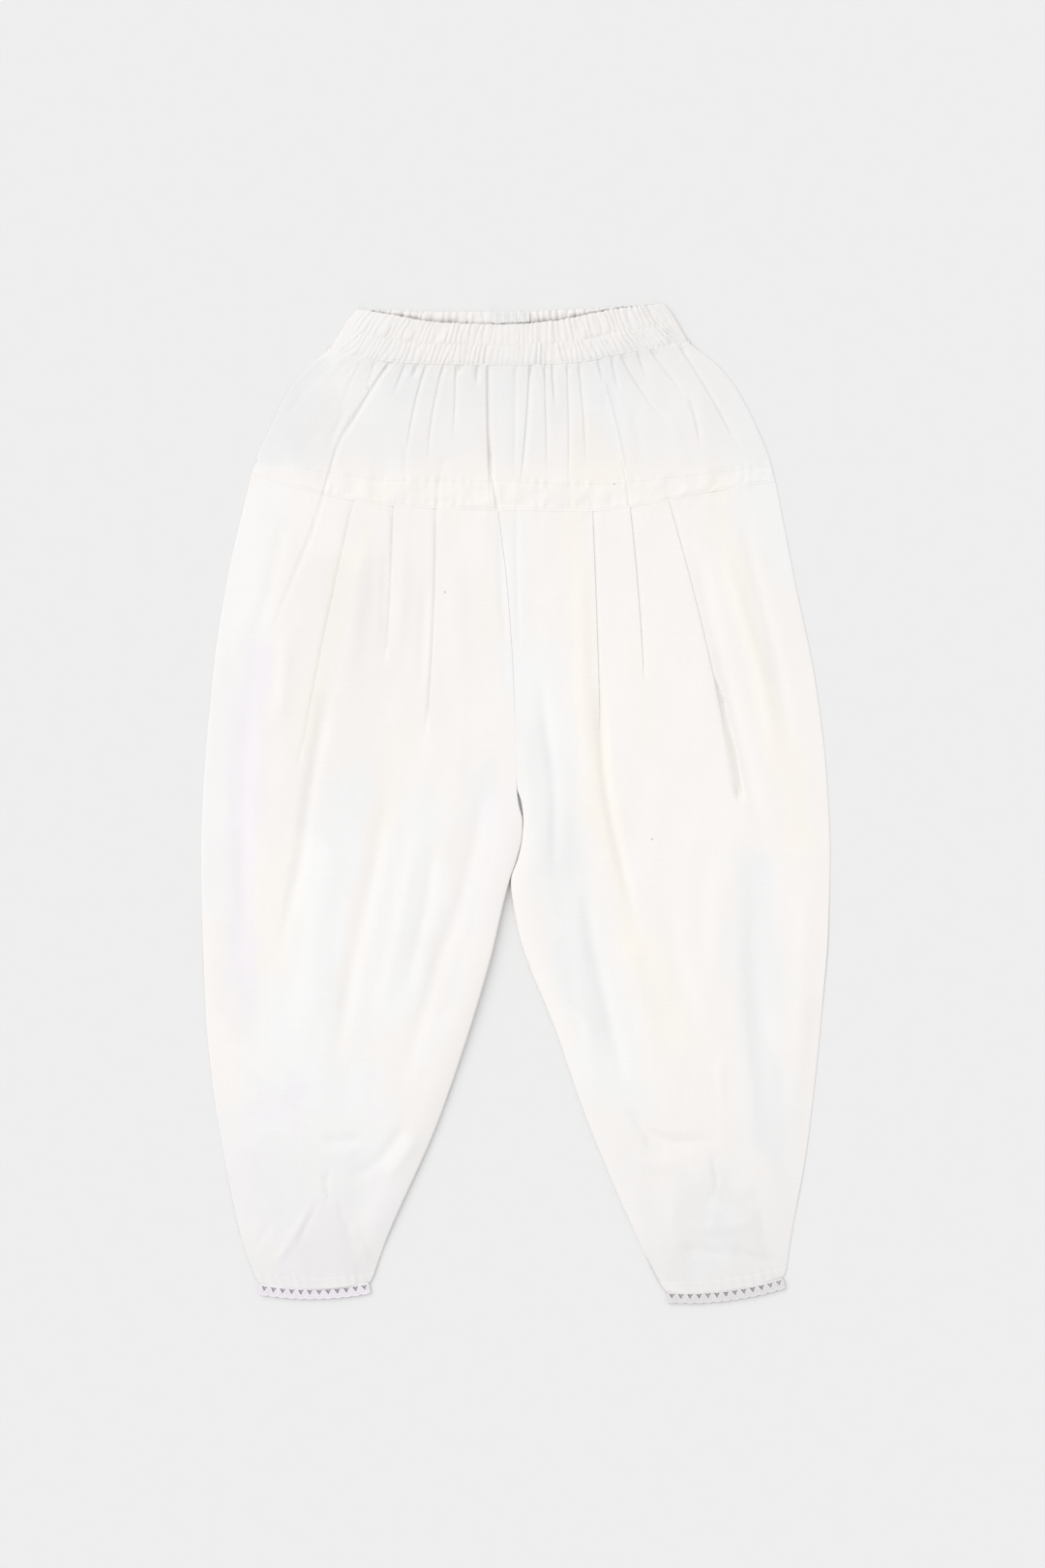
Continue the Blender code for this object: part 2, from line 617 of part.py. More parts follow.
def lace(leg, layer, under, material):
    """One lace trim along a hem: a header, a row of cut triangles, and a picot under each."""
    hem = leg.hem
    inner = np.array([hem.x_inner, hem.y_inner])
    outer = np.array([hem.x_outer, hem.y_outer])
    length = float(np.linalg.norm(outer - inner))
    along = (outer - inner) / length
    down = np.array([along[1], -along[0]]) * (1 if along[0] > 0 else -1)
    count = round(length / LACE_PITCH)
    pitch = length / count
    middle = pitch / 2
    hole_left, hole_right = middle - LACE_HOLE_WIDTH / 2, middle + LACE_HOLE_WIDTH / 2
    points, index_of, faces, walls = [], {}, [], []

    def point(unit, across, deep):
        """The number of the point at this place in a unit, shared with its neighbours."""
        far = unit * pitch + across
        key = (round(far, 4), round(deep, 4))
        if key not in index_of:
            sag = 4 * hem.sag * (far / length) * (1 - far / length)
            place = inner + along * far + down * (deep + SEAM_GAP + sag)
            index_of[key] = len(points)
            points.append((float(place[0]), float(place[1])))
        return index_of[key]

    notch = LACE_DEPTH - LACE_NOTCH_DEPTH
    tip = LACE_DEPTH
    for unit in range(count):
        top_near, top_far = point(unit, 0.0, 0.0), point(unit, pitch, 0.0)
        near, far = point(unit, 0.0, LACE_HEADER), point(unit, pitch, LACE_HEADER)
        left, right = point(unit, hole_left, LACE_HEADER), point(unit, hole_right, LACE_HEADER)
        apex = point(unit, middle, LACE_HEADER + LACE_HOLE_DEPTH)
        low_near, low_far = point(unit, 0.0, notch), point(unit, pitch, notch)
        picot_near = point(unit, middle - LACE_PICOT_WIDTH / 2, tip)
        picot_far = point(unit, middle + LACE_PICOT_WIDTH / 2, tip)
        faces.append((top_near, near, left, right, far, top_far))
        faces.append((near, low_near, picot_near, apex, left))
        faces.append((apex, picot_near, picot_far))
        faces.append((right, apex, picot_far, low_far, far))
        walls += [(top_far, top_near), (left, right), (right, apex), (apex, left)]
        walls += [(low_near, picot_near), (picot_near, picot_far), (picot_far, low_far)]
    near_end = [point(0, 0.0, deep) for deep in (0.0, LACE_HEADER, notch)]
    far_end = [point(count - 1, pitch, deep) for deep in (notch, LACE_HEADER, 0.0)]
    walls += [*zip(near_end[:-1], near_end[1:]), *zip(far_end[:-1], far_end[1:])]
    if along[0] < 0:
        faces = [face[::-1] for face in faces]
        walls = [(second, first) for first, second in walls]
    size = len(points)
    solid = [list(face) for face in faces]
    solid += [[size + corner for corner in reversed(face)] for face in faces]
    solid += [[second, first, size + first, size + second] for first, second in walls]
    heights = (under + LACE_THICK, under)
    verts = [(x * MM, y * MM, height * MM) for height in heights for x, y in points]
    mesh = bpy.data.meshes.new(f"lace_{layer}_{leg.side}")
    mesh.from_pydata(verts, [], solid)
    mesh.materials.append(material)
    made = bpy.data.objects.new(mesh.name, mesh)
    bpy.context.scene.collection.objects.link(made)
    return made


def label(material):
    """The plain label inside the back of the casing. It lies on the gathers' crests."""
    across = np.linspace(LABEL_MIDDLE_X - LABEL_WIDTH / 2, LABEL_MIDDLE_X + LABEL_WIDTH / 2, 7)
    up = np.linspace(LABEL_TOP_Y - LABEL_HEIGHT, LABEL_TOP_Y, 4)[::-1]
    x, y = np.meshgrid(across, up)
    lowest = CASING_WALL + CASING_GATHER_HEIGHT / 2 + SEAM_GAP
    ripple = 0.1 * (1.0 + np.sin(x * 0.9))
    return solid_between("back_label", *wall(x, y, lowest + ripple, LABEL_THICK), material)


def main():
    """Clears the scene and builds every piece."""
    for thing in list(bpy.data.objects):
        bpy.data.objects.remove(thing, do_unlink=True)
    cotton = cloth_material("white_cotton", (0.87, 0.86, 0.84), 0.9)
    lace_white = cloth_material("white_lace", (0.88, 0.87, 0.87), 0.85)
    label_white = cloth_material("label_tape", (0.88, 0.87, 0.85), 0.7)
    casing(cotton)
    front_yoke(cotton)
    back_yoke(cotton)
    for leg in (LEFT, RIGHT):
        front_leg(leg, cotton)
        back_leg(leg, cotton)
        lace(leg, "front", FRONT_UNDER, lace_white)
        lace(leg, "back", 0.0, lace_white)
    label(label_white)


main()
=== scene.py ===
"""The looks of a girl's tulip shalwar in thin white cotton, laid flat and face up on a pale floor.

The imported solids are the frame. Each cloth part is rebuilt here as a thin shell on its solid's form,
with gathers, pleats, creases and seams in the mesh, and weave in the material. Lengths are in
millimetres unless a comment says otherwise, in the frame's own axes: X to the right, Y up the
garment, Z up from the floor. Left and right are the sides as seen from above.
"""

import logging
import math
from dataclasses import dataclass
from enum import Enum
from typing import Sequence

import bpy
import numpy as np
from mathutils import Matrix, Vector


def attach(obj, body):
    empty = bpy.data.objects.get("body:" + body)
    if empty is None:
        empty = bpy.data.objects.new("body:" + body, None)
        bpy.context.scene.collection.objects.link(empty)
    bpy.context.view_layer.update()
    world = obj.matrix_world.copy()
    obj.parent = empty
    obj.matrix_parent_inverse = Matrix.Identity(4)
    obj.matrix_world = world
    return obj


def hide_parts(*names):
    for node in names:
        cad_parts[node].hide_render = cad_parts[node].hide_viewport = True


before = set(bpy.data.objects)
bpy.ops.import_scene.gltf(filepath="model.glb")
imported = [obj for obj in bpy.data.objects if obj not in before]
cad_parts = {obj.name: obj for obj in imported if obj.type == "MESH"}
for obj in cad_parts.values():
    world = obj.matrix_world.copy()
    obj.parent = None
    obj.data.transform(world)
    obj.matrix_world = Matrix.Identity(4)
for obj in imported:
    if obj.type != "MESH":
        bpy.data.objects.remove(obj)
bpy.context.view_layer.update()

Array = np.ndarray
Pair = tuple[Array, Array]
Span = tuple[float, float]
Triple = tuple[float, float, float]
Line = tuple[Span, ...]
Row = tuple[float, ...]
Piece = bpy.types.Object
Material = bpy.types.Material
Link = bpy.types.NodeSocket
LOG = logging.getLogger("shalwar")

MM = 0.001
BODY = "root"

# Thickness of the cloth, alone and where a pleat folds it on itself.
CLOTH_SHELL = 0.45
FOLDED_SHELL = 0.25
# Height of the face that the front layer lies on.
FRONT_REST = 1.5
# How far the corners of the hems are drawn in.
CORNER = 2.6
# Y of the yoke seam's two ends.
LEFT_SEAM_Y = 245.5
RIGHT_SEAM_Y = 240.2


class Side(Enum):
    """Which leg, as seen from above."""

    LEFT = "left"
    RIGHT = "right"


class Layer(Enum):
    """Which of the two layers of cloth that lie on each other."""

    FRONT = "front"
    BACK = "back"


def ease(share: Array | float) -> Array:
    """0 to 1 with a soft start and end."""
    share = np.clip(share, 0.0, 1.0)
    return share * share * (3.0 - 2.0 * share)


def rounded(distance: Array | float, reach: float) -> Array:
    """0 at an edge, rising as a quarter round to 1 at this reach from it."""
    inward = np.clip(np.asarray(distance, float) / reach, 0.0, 1.0)
    return np.sqrt(1.0 - (1.0 - inward) ** 2)


def swell(distance: Array | float, reach: float) -> Array:
    """0 at an edge, rising at once but gently to 1 at this reach from it."""
    return np.sin(np.clip(np.asarray(distance, float) / reach, 0.0, 1.0) * math.pi / 2)


def bell(distance: Array | float, width: float) -> Array:
    """1 in the middle of a soft ridge of this half width, falling to 0 beside it."""
    return np.exp(-((np.asarray(distance, float) / width) ** 2))


def mix(first: Array | float, second: Array | float, share: Array | float) -> Array:
    """The first value at share 0, the second at share 1."""
    return first + (second - first) * share


def value_noise(u: Array, v: Array, seed: int) -> Array:
    """Smooth noise on a unit lattice, the same each run.

    Args:
        u: first coordinate, in cells.
        v: second coordinate, in cells.
        seed: which noise.

    Returns:
        Values from -1 to 1, in the coordinates' shape.
    """
    u, v = np.broadcast_arrays(np.asarray(u, float), np.asarray(v, float))
    cell_u, cell_v = np.floor(u).astype(np.int64), np.floor(v).astype(np.int64)
    soft_u, soft_v = ease(u - cell_u), ease(v - cell_v)

    def corner(step_u: int, step_v: int) -> Array:
        """The lattice's value at one corner of each cell, from a hash with large odd factors."""
        mixed = (cell_u + step_u) * 374761393 + (cell_v + step_v) * 668265263 + seed * 1442695041
        mixed = (mixed ^ (mixed >> 13)) * 1274126177
        return ((mixed ^ (mixed >> 16)) & 0xFFFF) / 32767.5 - 1.0

    near = corner(0, 0) * (1 - soft_u) + corner(1, 0) * soft_u
    far = corner(0, 1) * (1 - soft_u) + corner(1, 1) * soft_u
    return near * (1 - soft_v) + far * soft_v


@dataclass(frozen=True)
class Uneven:
    """A smooth unevenness, such as that of pressed cloth or of a row of puckers.

    Attributes:
        length: size of its cells along, endless where each cell runs the whole way.
        lean: how far its cells lean, to the left for each unit up.
    """

    height: float
    width: float
    seed: int
    length: float = math.inf
    lean: float = 0.0

    def __call__(self, x: Array, y: Array | float = 0.0) -> Array:
        """What it adds there."""
        return self.height * value_noise((x + self.lean * y) / self.width, y / self.length, self.seed)


@dataclass(frozen=True)
class Profile:
    """A smooth curve through pairs of position and value, which never overshoots them."""

    points: Line

    def __call__(self, at: Array | float) -> Array:
        """The curve, held at its first and last value past its ends.

        Args:
            at: the positions.

        Returns:
            Its value at each of them.
        """
        given, value = np.array(sorted(self.points)).T
        step = np.diff(given)
        slope = np.diff(value) / step
        tangent = np.empty(len(given))
        tangent[0], tangent[-1] = slope[0], slope[-1]
        same_way = slope[:-1] * slope[1:] > 0
        before, after = 2 * step[1:] + step[:-1], step[1:] + 2 * step[:-1]
        product = np.where(same_way, slope[:-1] * slope[1:], 1.0)
        mean = (before + after) * product / (before * slope[1:] + after * slope[:-1] + ~same_way)
        tangent[1:-1] = np.where(same_way, mean, 0.0)
        at = np.clip(np.asarray(at, float), given[0], given[-1])
        piece = np.clip(np.searchsorted(given, at, side="right") - 1, 0, len(step) - 1)
        t = (at - given[piece]) / step[piece]
        return (
            (2 * t**3 - 3 * t**2 + 1) * value[piece]
            + (t**3 - 2 * t**2 + t) * step[piece] * tangent[piece]
            + (3 * t**2 - 2 * t**3) * value[piece + 1]
            + (t**3 - t**2) * step[piece] * tangent[piece + 1]
        )


@dataclass(frozen=True)
class Fold:
    """One fold that runs down the front layer: a furrow, a gather, or a knife pleat.

    Attributes:
        side: 0 on a furrow alike on both sides. On a pleat, +1 where the upper fold lies to the
            right of the line and -1 where it lies to the left. A gather is steep on that side.
        fades: shares of its length over which it fades, above its upper end and before its lower one.
    """

    x_top: float
    y_top: float
    x_end: float
    y_end: float
    bow: float
    height: float
    width: float
    side: int = 0
    steep: float = 0.32
    fades: Span = (0.12, 0.45)

    def share(self, y: Array | float) -> Array:
        """How far down the fold this is, 0 at its upper end and 1 at its lower one."""
        return (self.y_top - np.asarray(y, float)) / (self.y_top - self.y_end)

    def line(self, y: Array | float) -> Array:
        """X of the fold's line. Past its ends the line runs straight on."""
        share, held = self.share(y), np.clip(self.share(y), 0.0, 1.0)
        return self.x_top + (self.x_end - self.x_top) * share + 4 * self.bow * held * (1 - held)

    def off(self, x: Array, y: Array) -> Array:
        """Distance to the right of the line, measured square to it."""
        lean = (self.x_end - self.x_top) / (self.y_top - self.y_end)
        return (np.asarray(x, float) - self.line(y)) / math.sqrt(1.0 + lean * lean)

    def fade(self, y: Array | float) -> Array:
        """1 along the fold, falling softly to 0 past its upper end and at its lower one."""
        above, before = self.fades
        return ease((self.share(y) + above) / above) * ease((1.0 - self.share(y)) / before)

    def relief(self, x: Array, y: Array) -> Array:
        """The fold as a furrow or ridge.

        Args:
            x: X of the points.
            y: Y of the points.

        Returns:
            What it adds to the height of each.
        """
        off = self.off(x, y)
        shape = bell(off, self.width)
        if self.side:
            shape = np.where(off * self.side < 0, shape, bell(off, self.width * self.steep))
        return self.height * self.fade(y) * shape


@dataclass(frozen=True)
class Crease:
    """A ridge or trough along a bent line that may run any way across the cloth.

    Attributes:
        side: 0 where both sides are alike, or +1 or -1 where the side to the left or right of its
            way is the steep one.
    """

    line: Line
    height: float
    width: float
    side: int = 0
    fades: Span = (0.25, 0.35)
    steep: float = 0.35

    def path(self) -> Array:
        """The line with its corners cut round.

        Returns:
            Rows of X and Y.
        """
        points = np.array(self.line, float)
        for _ in range(2):
            near = 0.75 * points[:-1] + 0.25 * points[1:]
            far = 0.25 * points[:-1] + 0.75 * points[1:]
            inner = np.stack([near, far], axis=1).reshape(-1, 2)
            points = np.concatenate([points[:1], inner, points[-1:]])
        return points

    def relief(self, x: Array, y: Array) -> Array:
        """The crease as a ridge or trough.

        Args:
            x: X of the points.
            y: Y of the points.

        Returns:
            What it adds to the height of each.
        """
        path = self.path()
        reach = 3.0 * self.width
        low, high = path.min(axis=0) - reach, path.max(axis=0) + reach
        near = (x > low[0]) & (x < high[0]) & (y > low[1]) & (y < high[1])
        found = np.zeros(np.shape(x))
        if not near.any():
            return found
        at = np.stack([x[near], y[near]], axis=1)
        lengths = np.linalg.norm(np.diff(path, axis=0), axis=1)
        starts = np.concatenate([[0.0], np.cumsum(lengths)])
        best = np.full(len(at), np.inf)
        along, lateral = np.zeros(len(at)), np.zeros(len(at))
        for first, second, length, start in zip(path[:-1], path[1:], lengths, starts):
            way = (second - first) / length
            offset = at - first
            reached = np.clip(offset @ way, 0.0, length)
            offset = offset - reached[:, None] * way
            distance = np.hypot(offset[:, 0], offset[:, 1])
            closer = distance < best
            best = np.where(closer, distance, best)
            along = np.where(closer, start + reached, along)
            lateral = np.where(closer, way[0] * offset[:, 1] - way[1] * offset[:, 0], lateral)
        share = along / starts[-1]
        shape = bell(best, self.width)
        if self.side:
            shape = np.where(lateral * self.side < 0, shape, bell(best, self.width * self.steep))
        fade_in, fade_out = self.fades
        found[near] = self.height * shape * ease(share / fade_in) * ease((1.0 - share) / fade_out)
        return found


def folds(rows: Sequence[Sequence[float]]) -> tuple[Fold, ...]:
    """Folds from rows of X and Y at the top, X and Y at the end, bow, height, half width and side."""
    return tuple(Fold(*row) for row in rows)


def creases(rows: Sequence[Sequence[float]]) -> tuple[Crease, ...]:
    """Creases from rows of height, half width and steep side, then X and Y of each point."""
    return tuple(Crease(tuple(zip(row[3::2], row[4::2])), *row[:3]) for row in rows)


# The garment's edges: pairs of Y and X, from the top down.
YOKE_LEFT = Profile((
    (337.7, -140), (326.9, -155.2), (305.3, -172.4), (283.7, -182.5), (262.1, -192), (245.5, -197),
))
YOKE_RIGHT = Profile((
    (342.7, 130), (326.9, 151.6), (305.3, 168.1), (283.7, 178.9), (262.1, 188), (240.2, 193.8),
))
OUTER_LEFT = Profile((
    (245.2, -197.1), (164.9, -215.6), (92.9, -226.1), (-36.7, -234.4), (-151.9, -231.2), (-209.5, -225.7),
    (-267.1, -216.4), (-321.1, -205), (-357.4, -192.6),
))
OUTER_RIGHT = Profile((
    (239.9, 193.9), (164.9, 208.4), (92.9, 223.2), (20.9, 231.8), (-36.7, 234.4), (-94.3, 233.2),
    (-151.9, 228.6), (-209.5, 222.8), (-267.1, 215.6), (-321.1, 205.6), (-352.6, 201.2),
))
INNER_LEFT = Profile((
    (218.2, -13.15), (164.9, -6.65), (92.9, -1.65), (12.2, 0.95), (0.7, 2.2), (-12.2, 5.2), (-23.8, 4.8),
    (-39.6, 1.4), (-56.9, -4.5), (-115.9, -18.8), (-231.1, -55.8), (-346.3, -104.4), (-356.4, -107.2),
))
INNER_RIGHT = Profile((
    (218.2, -13.05), (164.9, -6.55), (92.9, -1.55), (12.2, 1.05), (0.7, 4.4), (-12.2, 5.5), (-23.8, 4.85),
    (-39.6, 1.6), (-56.9, -3.8), (-87.1, 0.2), (-173.5, 31.6), (-231.1, 51.6), (-346.3, 101.6),
    (-363.6, 110.6),
))

# The casing's edges and the yoke's seam and band: pairs of X and Y, from left to right.
CASING_TOP = {
    Layer.FRONT: Profile((
        (-120.6, 368.6), (-96.1, 365), (-60.1, 358.8), (-9.7, 356.8), (26.3, 359.3), (69.5, 367.6),
        (112.7, 372.8),
    )),
    Layer.BACK: Profile((
        (-120.6, 368.6), (-70, 367.4), (0, 367.2), (60, 369.6), (112.7, 372.8),
    )),
}
CASING_BOTTOM = Profile((
    (-139.5, 338.2), (-121.3, 333.4), (-81.7, 327.6), (-8.3, 326.2), (47.9, 328.3), (76.7, 334.1),
    (129.5, 343.2),
))
YOKE_SEAM = Profile((
    (-197, 245.5), (-139.3, 229.4), (-92.5, 221.8), (-13.3, 218.5), (56.5, 217.8), (85, 220.8),
    (113, 225.9), (152.6, 233.6), (193.8, 240.2),
))
YOKE_BAND = Profile((
    (-197, 257), (-139.3, 247), (-92.5, 240.8), (-13.3, 240), (56.5, 238), (113, 242.8), (152.6, 247.5),
    (193.8, 253),
))

# How far the front stands up between its edges: pairs of Y and height.
LOFT = Profile((
    (345, 3.2), (60, 3.2), (-120, 3), (-260, 2.3), (-335, 1.1), (-370, 0.3),
))

YOKE_GATHERS = folds((
    (-117.4, 326.2, -133.9, 288.7, 0, -0.35, 2.6, -1),
    (-105.1, 328, -111.6, 310.3, 0, -0.4, 2.4, -1),
    (-92.6, 331, -131, 268, -1.5, -1.1, 2.3, -1),
    (-82, 328, -92.5, 302, 0, -0.65, 2.4, -1),
    (-73.6, 327, -76, 316, 0, -1, 1.9, 0),
    (-66.4, 328, -82, 252, -2.5, -0.75, 2.2, -1),
    (-53.6, 327, -65.8, 250, -2.5, -0.75, 2.2, -1),
    (-44.6, 327, -46.8, 268.6, 0.5, -0.8, 2, -1),
    (-41.4, 327, -41.8, 319, 0, -0.9, 1.5, 0),
    (-28.6, 327, -28.2, 311, 0, -1.1, 1.7, 0),
    (-21, 328, -18, 216, -0.8, -2.1, 2.3, -1),
    (0.4, 323, -0.4, 232, -0.6, -0.5, 1.8, 0),
    (10.6, 327, 2.6, 228, 1, -1.1, 2.2, -1),
    (21.4, 327, 23.4, 240, 0.4, -0.8, 2.1, -1),
    (26.8, 327.5, 29.4, 292, 0, -0.9, 2, -1),
    (38.2, 328, 38.9, 226, 1, -0.65, 2.1, -1),
    (46.6, 328.5, 52.4, 246, 1.2, -0.75, 2.2, -1),
    (60.8, 330.5, 65.5, 310, 0, -1, 2, -1),
    (63.5, 322, 85.6, 222.5, 2.4, 0.55, 2.2, 1),
    (71, 332.5, 76.5, 306, 0, -0.7, 2, -1),
    (75.5, 338.5, 115, 279, -2.5, -1.1, 2, -1),
    (90, 336.5, 97, 318, 0, -0.8, 2, -1),
    (99, 339, 126, 304, 0, -1, 2.2, -1),
    (122, 341, 170, 256, 2.4, -1, 2.4, -1),
))

YOKE_CREASES = creases((
    (-0.5, 2.6, 0, -135.4, 334.8, -151.9, 321.1, -167.8, 303.1),
    (-0.6, 2, 0, -130.3, 334.8, -142.6, 321.8, -159.1, 307.4, -175, 281.5),
    (-0.6, 1.8, 0, -123.1, 333.4, -135.4, 317.5, -149.8, 301.7),
    (-0.5, 1.8, 0, -115.9, 333.4, -128.9, 316.1, -142.6, 301.7),
    (0.4, 4, 0, -139, 306.7, -151.9, 288.7, -162, 270.7),
    (-0.6, 2.4, 0, -126.7, 295.9, -131.8, 283, -139, 267.1),
    (-0.5, 1.4, 0, -117.4, 294.5, -123.1, 283, -130.3, 270),
    (-0.5, 5, 0, -146.2, 281.5, -154.8, 267.1, -164.2, 252.7),
    (0.3, 5, 0, -9.4, 324.7, -8.6, 281.5, -6.5, 238.3),
    (-1.6, 1.9, -1, -20.4, 276, -18.9, 250, -16.2, 234, -13.8, 220, -13, 204),
    (-0.4, 2, 0, -82.8, 270.7, -82.1, 252.7, -82.8, 239.8),
    (-0.4, 2.4, 0, -53.3, 259.9, -54, 245.5),
    (-0.9, 1.5, -1, -55.4, 249, -56.9, 241.9, -59, 231.1, -59, 206),
    (-0.5, 1.5, -1, 77, 262, 79.9, 252.7, 82.8, 234.7, 85.7, 208),
    (-1.1, 1.9, -1, 127.5, 305.3, 133.9, 287.3, 137.5, 265.7),
    (0.4, 4, 0, 113, 292.3, 120.2, 277.9, 123.1, 261.4),
    (-0.5, 2.4, 0, 86.4, 295.9, 90, 277.9, 94.3, 259.9),
    (0.3, 4, 0, 77, 310.3, 84.2, 281.5, 87.8, 245.5),
    (-0.8, 1.5, -1, 111.6, 247, 112.3, 238.3, 113.2, 226, 116, 206),
    (-1.1, 2.2, 0, 147, 242, 151.5, 243.6, 157, 247),
    (0.4, 2.6, 0, 146.2, 235.4, 149, 229.7),
    (-0.5, 3, 0, 162, 238.3, 166.3, 221),
    (0.4, 4, 0, 174.2, 310.3, 181.4, 288.7, 186.5, 259.9),
))

PLEATS = {
    Side.LEFT: folds((
        (-120.2, 225.5, -168.8, -18.7, -2, 0.42, 14, 1),
        (-90.6, 221.5, -97.9, 79.9, 1, 0.62, 12, 1),
        (-59, 220.3, -70, 12, 3, 0.68, 14, 1),
    )),
    Side.RIGHT: folds((
        (57.2, 217.4, 64, 10, 0.5, 0.26, 14, -1),
        (85.2, 219.8, 96.5, 60, 1.6, 0.28, 12, -1),
        (113.4, 226.6, 164.5, 4, 3.6, 0.23, 14, -1),
    )),
}

